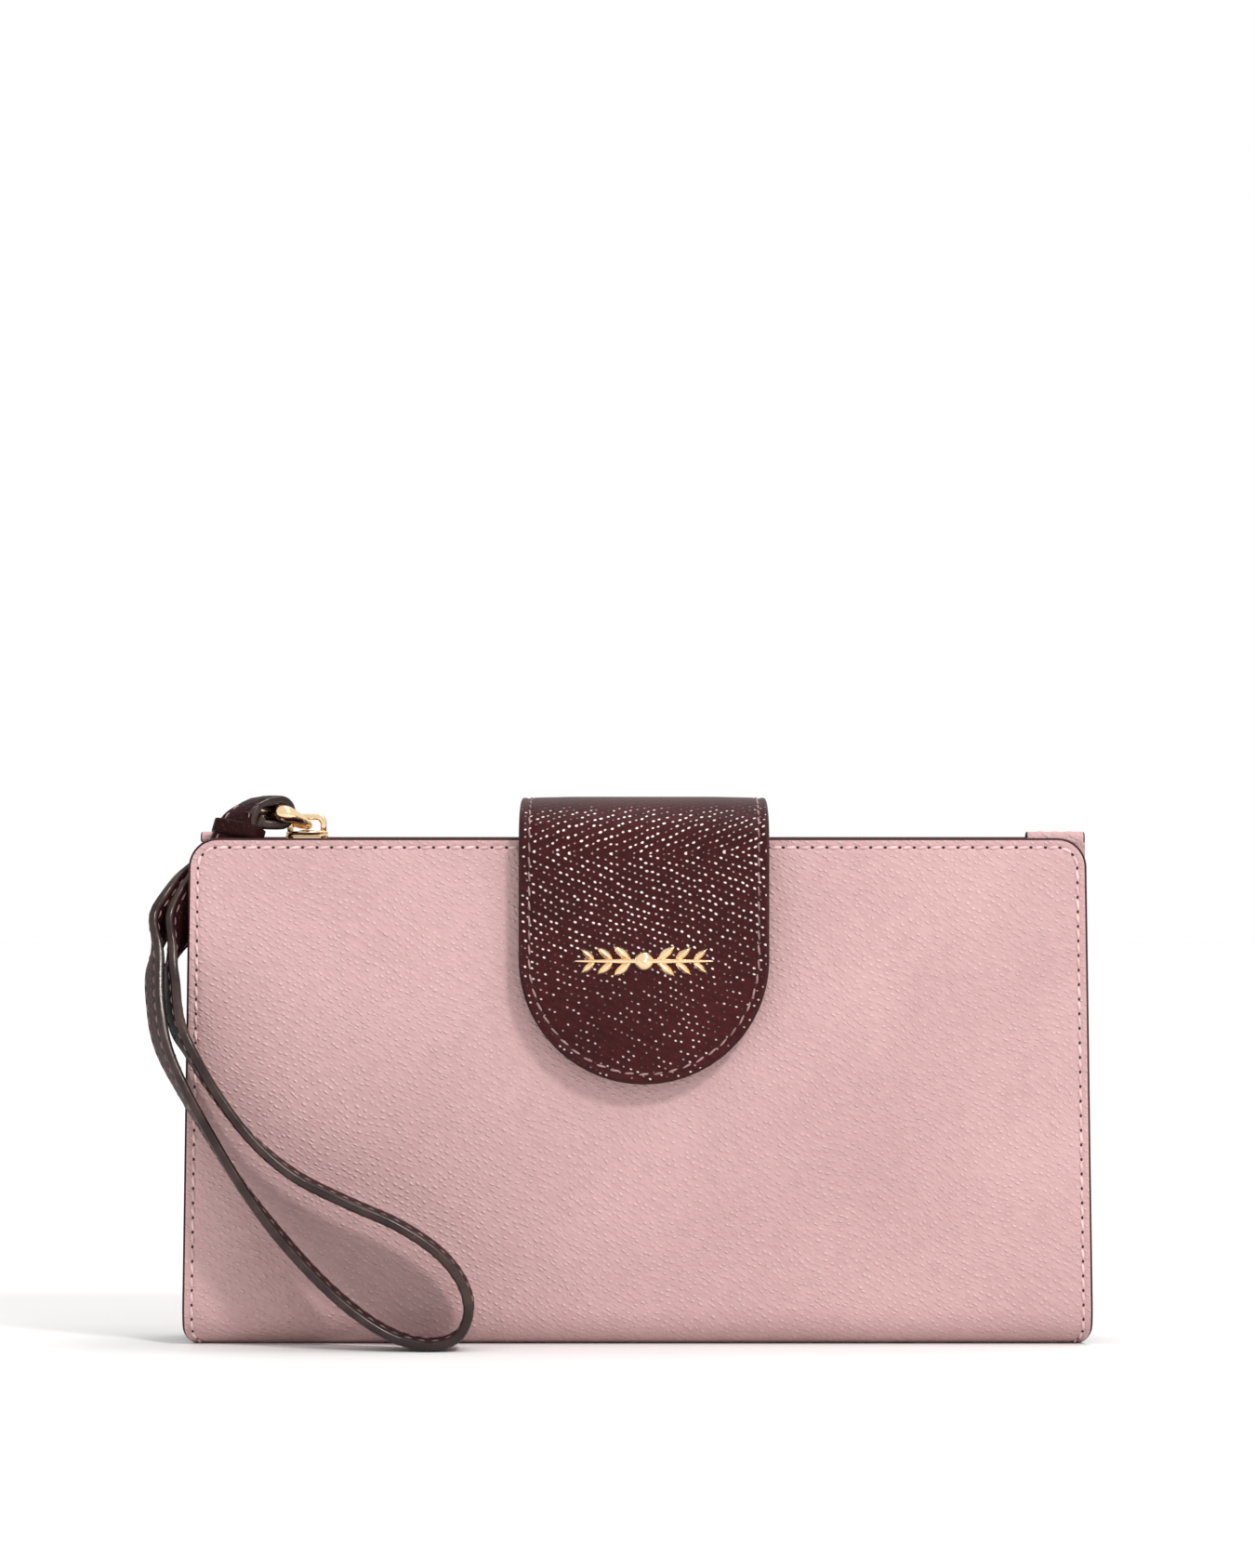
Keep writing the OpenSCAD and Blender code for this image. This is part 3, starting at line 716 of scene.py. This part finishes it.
def join(name, objects):
    """Joins pieces into one object, with their bevels applied."""
    graph = bpy.context.evaluated_depsgraph_get()
    bm = bmesh.new()
    for o in objects:
        bm.from_mesh(bpy.data.meshes.new_from_object(o.evaluated_get(graph)))
    mesh = bpy.data.meshes.new(name)
    bm.to_mesh(mesh)
    bm.free()
    for material in objects[0].data.materials:
        mesh.materials.append(material)
    for o in objects:
        bpy.data.objects.remove(o)
    return link(bpy.data.objects.new(name, mesh))


# ---- covers

def arc_line(y, z, a, b, from_, to, n):
    return [(y + a * math.cos(math.radians(from_ + (to - from_) * k / n)),
             z + b * math.sin(math.radians(from_ + (to - from_) * k / n))) for k in range(n + 1)]


def straight(y0, z0, y1, z1, n):
    return [(y0 + (y1 - y0) * k / n, z0 + (z1 - z0) * k / n) for k in range(n)]


COVER_LINE = (straight(-HALF, COVER_H, -HALF, BEND_R, 60)
              + arc_line(-SPINE_FLAT, BEND_R, BEND_R, BEND_R, 180, 270, 24)
              + straight(-SPINE_FLAT, 0, SPINE_FLAT, 0, 12)[1:]
              + arc_line(SPINE_FLAT, BEND_R, BEND_R, BEND_R, 270, 360, 24)
              + straight(HALF, BEND_R, HALF, COVER_H, 60)[1:] + [(HALF, COVER_H)])
SIDE_LENGTH = COVER_H - BEND_R
BEND_LENGTH = BEND_R * math.pi / 2
COVER_LENGTH = 2 * (SIDE_LENGTH + BEND_LENGTH + SPINE_FLAT)
TUCK_LENGTH = 9 * MM
TUCK_START = 4 * MM
TUCK_DEPTH = 1.6 * MM


def cover_half_width(s):
    """Half width of the cover: widest above the fold, narrower at the top and tucked in below."""
    s = min(s, COVER_LENGTH - s)
    up = min(s / SIDE_LENGTH, 1.0)
    w = COVER_W - TOP_NARROWER * (1 - up)
    below = s - (SIDE_LENGTH + TUCK_START)
    if below > 0:
        share = min(below / (BEND_LENGTH - TUCK_START), 1.0)
        w -= TUCK_DEPTH * share ** 2 * (3 - 2 * share)
    return w


def cover_shape(s, x):
    """How far the cover's face stands out: a sewn-down edge and a faintly soft middle."""
    near = COVER.edge_distance(s, x)
    groove = -0.24 * MM * math.exp(-((near - COVER_STITCH_INSET) / (0.5 * MM)) ** 2)
    side = min(s, COVER_LENGTH - s)
    middle = max(0.0, min(1.0, near / (25 * MM))) * max(0.0, 1 - side / (SIDE_LENGTH * 1.02))
    wave = math.sin(x * 55 + 1.0) * math.sin(side * 70 + 0.6)
    return groove + 0.25 * MM * middle + 0.12 * MM * wave * min(1.0, near / (10 * MM)) * middle


COVER = Sheet(COVER_LINE, 0.0, cover_half_width, r0=CORNER_R, r1=CORNER_R)
SEAM = COVER_LENGTH / 2


def seam_line(sheet, inset, at_start, lift):
    """(point, normal) pairs along a strip's sides and round one end, at inset from its edge."""
    s0, s1 = sheet.start + inset * at_start, sheet.end - inset * (not at_start)
    count = 160
    right = []
    for k in range(count + 1):
        share = 0.5 - 0.5 * math.cos(math.pi * k / count)
        s = s0 + (s1 - s0) * share
        right.append((s, sheet.half_width(s, inset)))
    left = [(s, -w) for s, w in right]
    marks = right[::-1] + left if at_start else left + right[::-1]
    found = []
    for (s0, x0), (s1, x1) in zip(marks, marks[1:] + marks[-1:]):
        steps = max(1, int(math.hypot(s1 - s0, x1 - x0) / (0.6 * MM)))
        for k in range(steps):
            s, x = s0 + (s1 - s0) * k / steps, x0 + (x1 - x0) * k / steps
            found.append((Vector(sheet.point(s, x, -lift(s, x))), sheet.normal_at(s)))
    return found


def make_covers():
    rows = COVER.rows(4 * MM, extra=[SEAM])
    fold0, fold1 = SIDE_LENGTH - TUCK_LENGTH, COVER_LENGTH - SIDE_LENGTH + TUCK_LENGTH
    dense = [fold0 + (fold1 - fold0) * k / 56 for k in range(57)]
    edges = [d * MM for d in (0.9, 1.4, 1.8, 2.2, 2.8)]
    rows = [s for s in rows if not fold0 < s < fold1] + dense
    rows += edges + [COVER_LENGTH - d for d in edges]
    rows = sorted(set(round(s, 6) for s in rows) | {0.0, COVER_LENGTH, SEAM})
    cols = columns(COVER_W, 14)
    halves = (("cover_front", 0.0, SEAM), ("cover_back", SEAM, COVER_LENGTH))
    for name, start, end in halves:
        front = name == "cover_front"
        sheet = Sheet(COVER_LINE, 0.0, cover_half_width, start=start, end=end,
                      r0=CORNER_R if front else 0, r1=0 if front else CORNER_R)
        own = [min(max(s, start), end) for s in rows if start - 1e-6 <= s <= end + 1e-6]
        made = shell(name, sheet, LEATHER_T, own, cols, [PINK, EDGE_DARK, LINING],
                     COVER_PAINT, flush=(not front, front), shape=cover_shape)
        line = seam_line(sheet, COVER_STITCH_INSET, front, cover_shape)
        sewn = stitches(name.replace("cover", "cover_stitching"), line, THREAD_PINK)
        for piece in (made, sewn):
            if front:
                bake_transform(piece)
            else:
                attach(piece, "back_half")
        if front:
            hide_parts("outer_cover_front", "outer_cover_bend")
        else:
            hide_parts("outer_cover_back")


POCKET_SEAM_INSET = 1.6 * MM


def sew_pocket(name, line, side, body):
    """A row of fine stitches on a card pocket."""
    stations = [(Vector(p), Vector((0, -side, 0))) for p in line]
    sewn = stitches(name, stations, THREAD_MAUVE, radius=FINE_STITCH_R)
    settle(sewn, body, "lining_leather")


def make_inside():
    for side, half, body in ((-1, "front", "front_half"), (1, "back", "back_half")):
        keep_node(half + "_stiffener", BOARD)
        keep_node(half + "_lining", POCKET, 0.2 * MM)
        for level in ("high", "mid", "low"):
            node = "%s_card_pocket_%s" % (half, level)
            keep_node(node, POCKET, 0.18 * MM)
            a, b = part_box(node)
            y, z = b.y if side < 0 else a.y, b.z - POCKET_SEAM_INSET
            run = np.linspace(a.x + POCKET_SEAM_INSET, b.x - POCKET_SEAM_INSET, 60)
            sew_pocket(node + "_stitching", [(x, y, z) for x in run], side, body)
        rise = np.linspace(a.z + MM, b.z - MM, 40)
        sew_pocket(half + "_pocket_middle_stitching", [(0, y, z) for z in rise], side, body)
    keep_node("spine_lining", LINING, 0.15 * MM)
    for node in ("zip_pocket_front_wall", "zip_pocket_back_wall"):
        keep_node(node, PINK_INSIDE, 0.2 * MM)
    keep_node("zip_pocket_lining", CLOTH, 0.05 * MM)
    for side in ("left", "right"):
        keep_node("zip_pocket_gusset_" + side, LINING, 0.15 * MM)


# ---- flap

ARCH_MID = (BASE_OUT - FLAP_OUT) / 2
ARCH_HALF = (BASE_OUT + FLAP_OUT) / 2
ARCH_RISE = ARCH_TOP - ARCH_Z
FLAP_LINE = (straight(BASE_OUT, BASE_LOW, BASE_OUT, ARCH_Z, 30)
             + arc_line(ARCH_MID, ARCH_Z, ARCH_HALF, ARCH_RISE, 0, 180, 60)
             + straight(-FLAP_OUT, ARCH_Z, -FLAP_OUT, FLAP_LOW.z, 30)[1:]
             + [(-FLAP_OUT, FLAP_LOW.z)])


def flap_half_width(s):
    """Half width of the flap, a hair narrower over the top."""
    return FLAP_W - 0.3 * MM * math.exp(-((s - FLAP_ALL.s[-1] * 0.42) / (14 * MM)) ** 2)


FLAP_ALL = Sheet(FLAP_LINE, FLAP_X, lambda s: FLAP_W, r0=BASE_CORNER_R, r1=FLAP_W)
FLAP_SEAM = ARCH_Z - BASE_LOW + float(np.sum(np.linalg.norm(np.diff(np.array(
    arc_line(ARCH_MID, ARCH_Z, ARCH_HALF, ARCH_RISE, 0, 90, 30)), axis=0), axis=1)))


def flap_shape(s, x):
    near = FLAP_ALL.edge_distance(s, x)
    groove = -0.26 * MM * math.exp(-((near - FLAP_STITCH_INSET) / (0.5 * MM)) ** 2)
    soft = min(1.0, max(0.0, (near - FLAP_STITCH_INSET) / (8 * MM)))
    return groove + 0.18 * MM * soft


def make_flap():
    cols = columns(FLAP_W, 9)
    parts = (("flap_back", 0.0, FLAP_SEAM), ("flap_front", FLAP_SEAM, float(FLAP_ALL.s[-1])))
    for name, start, end in parts:
        back = name == "flap_back"
        sheet = Sheet(FLAP_LINE, FLAP_X, flap_half_width, start=start, end=end,
                      r0=BASE_CORNER_R if back else 0, r1=0 if back else FLAP_W)
        rows = sheet.rows(1.2 * MM)
        made = shell(name, sheet, FLAP_T, rows, cols, [OXBLOOD, EDGE_DARK, LINING],
                     FLAP_PAINT, flush=(not back, back), shape=flap_shape)
        line = seam_line(sheet, FLAP_STITCH_INSET, back, flap_shape)
        sewn = stitches(name.replace("flap", "flap_stitching"), line, THREAD_MAUVE,
                        radius=0.23 * MM)
        for piece in (made, sewn):
            if back:
                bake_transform(piece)
            else:
                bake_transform(piece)
        if back:
            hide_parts("flap_base", "flap_bridge_leather", "flap_bridge_lining")
        else:
            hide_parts("flap_tongue_leather", "flap_tongue_lining")


def leaf_piece(name, root, angle, length):
    """One domed leaf with a raised middle rib, lying on the flap."""
    points, faces = [], []
    steps, across = 14, 8
    width = length * 0.42
    ca, sa = math.cos(angle), math.sin(angle)
    for i in range(steps + 1):
        t = i / steps
        half = max(width / 2 * math.sin(math.pi * t) ** 0.8, 0.00001)
        for k in range(across + 1):
            v = -1 + 2 * k / across
            rise = 0.75 * MM * (1 - v * v) * min(1.0, math.sin(math.pi * t) * 1.6)
            rise += 0.22 * MM * math.exp(-(v / 0.16) ** 2) * math.sin(math.pi * t)
            u, w = t * length, v * half
            points.append((root[0] + u * ca - w * sa, -FLAP_OUT - 0.1 * MM - rise,
                           root[1] + u * sa + w * ca))
    n = len(points)
    points += [(x, -FLAP_OUT + 0.25 * MM, z) for x, _, z in points]
    row = across + 1
    for i in range(steps):
        for k in range(across):
            a = i * row + k
            faces.append((a, a + 1, a + row + 1, a + row))
            faces.append((n + a, n + a + row, n + a + row + 1, n + a + 1))
        for a in (i * row, i * row + across):
            faces.append((a, a + row, n + a + row, n + a))
    for first in (0, steps * row):
        for k in range(across):
            faces.append((first + k, first + k + 1, n + first + k + 1, n + first + k))
    return make_object(name, points, faces, [GOLD])


def make_ornament():
    """A plain gold sprig: a stem, pairs of leaves and a berry in the middle."""
    a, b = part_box("flap_ornament")
    x0, z0, reach = (a.x + b.x) / 2, (a.z + b.z) / 2, (b.x - a.x) / 2
    stem = [Vector((x0 + reach * t, -FLAP_OUT - 0.3 * MM, z0)) for t in np.linspace(-1, 1, 41)]
    thick = [0.18 * MM + 0.32 * MM * math.cos(math.pi / 2 * t) for t in np.linspace(-1, 1, 41)]
    parts = [tube("sprig", stem, thick, 10)]
    for m in (-1, 1):
        for x, length in ((2.2, 4.7), (5.6, 4.3), (9.0, 3.9)):
            for up in (-1, 1):
                slope = math.radians(38) * up
                angle = slope if m > 0 else math.pi - slope
                parts.append(leaf_piece("leaf", (x0 + m * x * MM, z0), angle, length * MM))
    berry = [(0.0, 1.3), (0.7, 1.22), (1.3, 0.95), (1.75, 0.5), (1.95, 0.0), (1.95, -0.3),
             (0.0, -0.3)]
    parts.append(lathe("berry", berry, (x0, -FLAP_OUT, z0), (0, -1, 0)))
    settle(join("ornament", parts), "flap_tongue", "gold_metal", "flap_ornament")


def make_snap():
    a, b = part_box("snap_stud")
    centre = ((a.x + b.x) / 2, -HALF, (a.z + b.z) / 2)
    profile = [(0.0, 2.1), (1.2, 2.1), (1.9, 1.95), (2.2, 1.6), (2.15, 1.1), (1.7, 0.75),
               (2.4, 0.6), (4.2, 0.5), (4.8, 0.35), (5.0, 0.1), (5.0, -0.05), (0.0, -0.05)]
    stud = lathe("snap_stud_cap", profile, centre, (0, -1, 0))
    settle(stud, "front_half", "gold_metal", "snap_stud")
    a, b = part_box("snap_socket")
    centre = ((a.x + b.x) / 2, -FLAP_IN, (a.z + b.z) / 2)
    profile = [(2.6, 0.1), (2.6, 1.1), (2.8, 1.4), (3.2, 1.5), (4.2, 1.3), (5.0, 0.95),
               (5.35, 0.5), (5.4, 0.0), (2.6, 0.0)]
    socket = lathe("snap_socket_ring", profile, centre, (0, 1, 0))
    settle(socket, "flap_tongue", "gold_metal", "snap_socket")
    keep_node("snap_stud_washer", GOLD, 0.08 * MM)


# ---- zip

TOOTH_PITCH = 2.5 * MM
TOOTH_HALF = 0.55 * MM
TOOTH_HEAD = -0.7 * MM
TOOTH_FOOT = 2.1 * MM
# Half a tooth from foot to head: millimetres along the zip, and the share of its length
TOOTH = [(-0.55, 1.0), (-0.55, 0.55), (-0.38, 0.45), (-0.5, 0.25), (-0.5, 0.08), (-0.3, 0.0)]
TOOTH += [(-u, v) for u, v in TOOTH[::-1]]


def make_teeth(name, side):
    """A row of cast teeth: wide feet on the tape and rounded heads that mesh with the others."""
    a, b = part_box(name)
    count = round((b.x - a.x - 2 * TOOTH_HALF) / TOOTH_PITCH) + 1
    n = len(TOOTH)
    bevel = 0.2 * MM
    points, faces = [], []
    for i in range(count):
        at = a.x + TOOTH_HALF + i * TOOTH_PITCH
        outline = [(at + u * MM, side * (TOOTH_HEAD + (TOOTH_FOOT - TOOTH_HEAD) * v))
                   for u, v in TOOTH]
        cx, cy = (sum(values) / n for values in zip(*outline))
        faces += rings(4, n, first=len(points))
        for z, shrink in ((a.z, 0.8), (a.z + bevel, 1.0), (b.z - bevel, 1.0), (b.z, 0.8)):
            points += [(cx + (x - cx) * shrink, cy + (y - cy) * shrink, z) for x, y in outline]
    made = make_object(name + "_cast", points, faces, [GOLD], smooth=False)
    settle(made, "back_half", "gold_metal", name)


class TabSheet(Sheet):
    """The leather of an end tab: below the tape it goes on only past the pocket's end."""

    def point(self, s, x, depth=0.0):
        px, y, z = super().point(s, x, depth)
        if self.at(s)[1] < self.tape - 0.01 * MM:
            share = (self.end_x - self.past) / (2 * self.base(s))
            px = self.end_x - (self.end_x - px) * share
        return px, y, z


def make_end_tab(side):
    """The leather tab folded over one end of the zip, with its row of stitches."""
    node = "zip_end_tab_" + side
    a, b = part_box(node)
    half, wide = b.y, (b.x - a.x) / 2
    turn = 1.3 * MM
    line = (straight(-half, a.z, -half, b.z - turn, 6)
            + arc_line(-half + turn, b.z - turn, turn, turn, 180, 90, 8)
            + arc_line(half - turn, b.z - turn, turn, turn, 90, 0, 8)
            + [(half, a.z)])
    sheet = TabSheet(line[::-1], (a.x + b.x) / 2, lambda s: wide, r0=0.6 * MM, r1=0.6 * MM)
    sheet.tape = high("zip_tape_front").z
    sheet.past = high("zip_pocket_front_wall").x + 0.2 * MM
    sheet.end_x = b.x
    hang, step = sheet.tape - a.z, 0.2 * MM
    extra = (hang - step, hang, sheet.end - hang, sheet.end - hang + step) if hang > MM else ()
    made = shell(node + "_fold", sheet, MM, sheet.rows(0.5 * MM, extra), columns(wide, 5),
                 [PINK, EDGE_DARK, LINING], TAB_PAINT)
    seam = [(Vector((x, 0, b.z - 0.12 * MM)), Vector((0, 0, 1)))
            for x in np.linspace(a.x + 1.2 * MM, b.x - 1.2 * MM, 20)]
    sewn = stitches(node + "_stitching", seam, THREAD_PINK, radius=FINE_STITCH_R)
    settle(made, "back_half", "pink_leather", node)
    settle(sewn, "back_half", "pink_leather")


def rounded_box(x0, x1, y0, y1, r, n):
    """The outline of a box with corners of radius r, each in n steps."""
    corners = ((x1 - r, y1 - r, 0), (x0 + r, y1 - r, 90), (x0 + r, y0 + r, 180),
               (x1 - r, y0 + r, 270))
    return [(cx + r * math.cos(math.radians(t + 90 * k / n)),
             cy + r * math.sin(math.radians(t + 90 * k / n)))
            for cx, cy, t in corners for k in range(n + 1)]


TAPE_SLOT = (94.0 * MM, 95.0 * MM)


def make_slider():
    """The cast slider, and on its rivet the turning plate with the bridge that holds the ring."""
    a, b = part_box("slider_body")
    c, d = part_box("slider_bridge")
    mid = (a.x + b.x) / 2
    top = c.z
    shield = [(a.x, -1.5 * MM), (a.x + 0.5 * MM, -2.3 * MM), (a.x + 1.6 * MM, -b.y),
              (b.x - 1.2 * MM, -b.y), (b.x - 0.4 * MM, -2.3 * MM), (b.x, -1.6 * MM)]
    shield += [(x, -y) for x, y in shield[::-1]]
    parts = [plate("plate", shield, z0, z0 + 0.8 * MM, 0.25 * MM)
             for z0 in (a.z, top - 0.8 * MM)]
    for y0, y1 in ((a.y, a.y + 0.4 * MM), (b.y - 0.4 * MM, b.y)):
        rail = rounded_box(a.x + 1.4 * MM, b.x - 1.2 * MM, y0, y1, 0.15 * MM, 3)
        for z0, z1 in ((a.z + 0.4 * MM, TAPE_SLOT[0]), (TAPE_SLOT[1], top - 0.4 * MM)):
            parts.append(plate("rail", rail, z0, z1, 0.08 * MM))
    rivet = [(0.0, 0.82), (0.6, 0.8), (1.2, 0.7), (1.6, 0.56), (0.9, 0.55), (0.9, -0.4),
             (0.0, -0.4)]
    parts.append(lathe("rivet", rivet, (mid, 0, top), (0, 0, 1)))
    settle(join("slider_cast", parts), "zip_slider", "gold_metal", "slider_body")
    disc = [(0.95, 0.02), (3.85, 0.02), (4.0, 0.15), (4.0, 0.38), (3.85, 0.5), (0.95, 0.5)]
    swivel = lathe("swivel", disc, (mid, 0, top), (0, 0, 1))
    half, wire, round_ = 3.75 * MM, 1.15 * MM, 1.6 * MM
    foot = top + 0.4 * MM
    outline = []
    for reach, rise, r in ((half, d.z, round_), (half - wire, d.z - wire, round_ - 0.7 * MM)):
        arch = [(mid - reach, foot)]
        arch += [(mid - reach + r * (1 - math.cos(t)), rise - r * (1 - math.sin(t)))
                 for t in np.linspace(0, math.pi / 2, 8)]
        arch += [(2 * mid - x, z) for x, z in arch[::-1]]
        outline += arch if not outline else arch[::-1]
    loop = plate("loop", outline, -1.3 * MM, 1.3 * MM, 0.3 * MM, upright=True)
    settle(join("slider_loop", [swivel, loop]), "pull_ring", "gold_metal", "slider_bridge")
def ring_axes():
    """The pull ring's directions: to the bar, along the bar, and out of the ring's plane."""
    reach = (BAR - BRIDGE).normalized()
    across = Vector(JOINTS["strap_swing"]["axis"]).normalized()
    return reach, across, reach.cross(across).normalized()


def make_ring():
    """A D-shaped ring cast in one piece: thin at the slider, thick where the strap goes round."""
    reach, across, normal = ring_axes()
    length = (BAR - BRIDGE).length
    half, turn = 4.4 * MM, 1.6 * MM
    thin, swell = 0.55 * MM, 1.1 * MM
    bow = [(half - half * math.cos(t), half * math.sin(t))
           for t in np.linspace(-math.pi / 2, math.pi / 2, 25)]
    leg = [(half + (length - turn - half) * k / 4, half) for k in range(1, 4)]
    corner = [(length - turn + turn * math.sin(t), half - turn + turn * math.cos(t))
              for t in np.linspace(0, math.pi / 2, 8)]
    bar = [(length, (half - turn) * (1 - 2 * k / 8)) for k in range(1, 8)]
    back = [(u, -v) for u, v in (leg + corner)[::-1]]
    line, radii = [], []
    for u, v in bow + leg + corner + bar + back:
        line.append(BRIDGE + reach * u + across * v)
        share = max(0.0, min(1.0, (u / length - 0.12) / 0.78))
        radii.append(thin + swell * share ** 1.2)
    made = tube("pull_ring_cast", line, radii, 18, closed=True, up=normal)
    settle(made, "pull_ring", "gold_metal", "pull_ring")


def make_zip():
    for side in ("front", "back"):
        keep_node("zip_tape_" + side, TAPE, 0.08 * MM)
    make_teeth("zip_teeth_front", -1)
    make_teeth("zip_teeth_back", 1)
    for side in ("left", "right"):
        keep_node("zip_stop_" + side, GOLD, 0.15 * MM)
        make_end_tab(side)
    make_slider()
    make_ring()


# ---- wrist strap

def strap_frames():
    """Points, width directions and face directions along the strap."""
    steps = STRAP_STEPS
    route = np.array(STRAP_ROUTE, float)
    n = len(route)
    line = []
    for i in range(n - 1):
        p0, p1, p2, p3 = (route[max(0, min(n - 1, i + k))] for k in (-1, 0, 1, 2))
        for t in np.arange(steps) / steps:
            line.append(0.5 * (2 * p1 + t * (p2 - p0) + t * t * (2 * p0 - 5 * p1 + 4 * p2 - p3)
                               + t ** 3 * (3 * p1 - p0 - 3 * p2 + p3)))
    line.append(route[-1])
    line = np.array(line)
    frames = []
    for i, p in enumerate(line):
        ahead, behind = line[min(i + 1, len(line) - 1)], line[max(i - 1, 0)]
        along = Vector(ahead[:3] - behind[:3]).normalized()
        turn = math.radians(p[3])
        wide = Vector((math.sin(turn), math.cos(turn), 0))
        wide = (wide - along * wide.dot(along)).normalized()
        frames.append((Vector(p[:3]) * MM, wide, wide.cross(along)))
    return frames


def strap_half_width(i, count):
    """Half the strap's width: it is cut narrower towards both ends to go round the ring."""
    share = min(1.0, min(i, count - 1 - i) / STRAP_TAPER)
    return (STRAP_END_W + (STRAP_W - STRAP_END_W) * share) / 2


def strap_section(w):
    """The strap's cross-section as (across, out) points, and 1 for each side that is painted."""
    t = STRAP_T / 2
    face = [(-1.0, 0.62), (-0.9, 0.93), (-0.8, 0.98), (-0.7, 0.86), (-0.6, 0.97), (-0.3, 1.0)]
    face += [(0.0, 1.0)] + [(-u, v) for u, v in face[::-1]]
    upper = [(u * w * 0.985, v * t) for u, v in face] + [(w, t * 0.3), (w, -t * 0.3)]
    kinds = [1] + [0] * 10 + [1] * 4
    return upper + [(-u, -v) for u, v in upper], kinds * 2


def band(name, stations, section, kinds, closed=False, back=0.0):
    """Strap leather along (middle, width direction, face direction) stations.

    section(i) gives the outline at station i as (across, out) points in metres, and kinds is 1
    for each of its sides that is painted. back sets the lower face's grain apart."""
    points, uvs = [], []
    length = 0.0
    for i, (p, wide, out) in enumerate(stations):
        if i:
            length += (p - stations[i - 1][0]).length
        for u, v in section(i):
            points.append(p + wide * u + out * v)
            uvs.append((u + (back if v < 0 else 0), length))
    n = len(stations)
    faces = rings(n, len(kinds), closed)
    kinds = kinds * n if closed else kinds * (n - 1) + [1, 1]
    made = make_object(name, points, faces, [OXBLOOD_STRAP, EDGE_TAUPE], kinds, uvs)
    return made, length


def make_strap():
    frames = strap_frames()
    count = len(frames)

    def section(i):
        return strap_section(strap_half_width(i, count))[0]

    strap, length = band("strap", frames, section, strap_section(STRAP_W / 2)[1], back=0.03)
    settle(strap, "wrist_strap", "oxblood_leather", "strap_band")
    sewn = []
    for side in (-1, 1):
        for face in (-1, 1):
            line = [(p + wide * side * strap_half_width(i, count) * 0.69
                     + out * face * STRAP_T * 0.41, out * face)
                    for i, (p, wide, out) in enumerate(frames)]
            sewn.append(stitches("thread", line, THREAD_MAUVE, 2.6 * MM, FINE_STITCH_R, 0.04))
    threads = join("strap_stitching", sewn)
    settle(threads, "wrist_strap", "oxblood_leather")
    make_end_loop(frames)
    make_keeper(frames)
    for piece in (strap, threads):
        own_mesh(piece)


def ribbon(name, line, half, thick, across, closed=False):
    """A flat leather band of constant width, lying along a line across the given direction."""
    upper = [(-1, 0.55), (-0.94, 0.95), (-0.5, 1), (0.5, 1), (0.94, 0.95), (1, 0.55)]
    section = [(m * u * half, m * v * thick / 2) for m in (1, -1) for u, v in upper]
    stations = [(p, across, across.cross(along).normalized())
                for p, along in zip(line, headings(line, closed))]
    kinds = [1, 0, 0, 0, 1, 1] * 2
    return band(name, stations, lambda i: section, kinds, closed)[0]


def make_end_loop(frames):
    """The strap's end, wrapped round the ring's bar and folded back between the two runs."""
    across = ring_axes()[1]
    away = Vector((across.y, -across.x, 0)).normalized()
    if away.dot(BAR - BRIDGE) < 0:
        away = -away
    up = Vector((0, 0, 1))
    r = 2.4 * MM
    first, last = frames[0][0], frames[-1][0]
    lead = (first - BAR).dot(away)
    line = [frames[4][0], frames[2][0], first, BAR + away * lead * 0.62 + up * 2.0 * MM]
    line += [BAR + away * r * math.cos(t) + up * r * math.sin(t)
             for t in np.linspace(0.40 * math.pi, 1.55 * math.pi, 22)]
    line += [BAR + away * 2.6 * MM - up * 2.3 * MM, (last + frames[-7][0]) / 2 - up * 0.5 * MM,
             frames[-7][0]]
    loop = ribbon("strap_loop_round_ring", line, 3.5 * MM, 1.7 * MM, across)
    settle(loop, "wrist_strap", "oxblood_leather", "strap_end_loop")


def make_keeper(frames):
    """The leather keeper that holds the strap's two ends together, in line with them."""
    _, wide, out = frames[KEEPER_RING]
    centre = (frames[KEEPER_RING][0] + frames[-1 - KEEPER_RING][0]) / 2
    half_w, half_h, r = 4.45 * MM, 2.5 * MM, 1.5 * MM
    outline = rounded_box(-half_w, half_w, -half_h, half_h, r, 6)
    line = [centre + wide * u + out * v for u, v in outline]
    keeper = ribbon("strap_keeper_band", line, 1.35 * MM, 0.8 * MM,
                    out.cross(wide).normalized(), closed=True)
    settle(keeper, "wrist_strap", "oxblood_leather", "strap_keeper")


# ---- build

make_camera()
make_strap()
make_studio()
make_covers()
make_inside()
make_flap()
make_ornament()
make_snap()
make_zip()
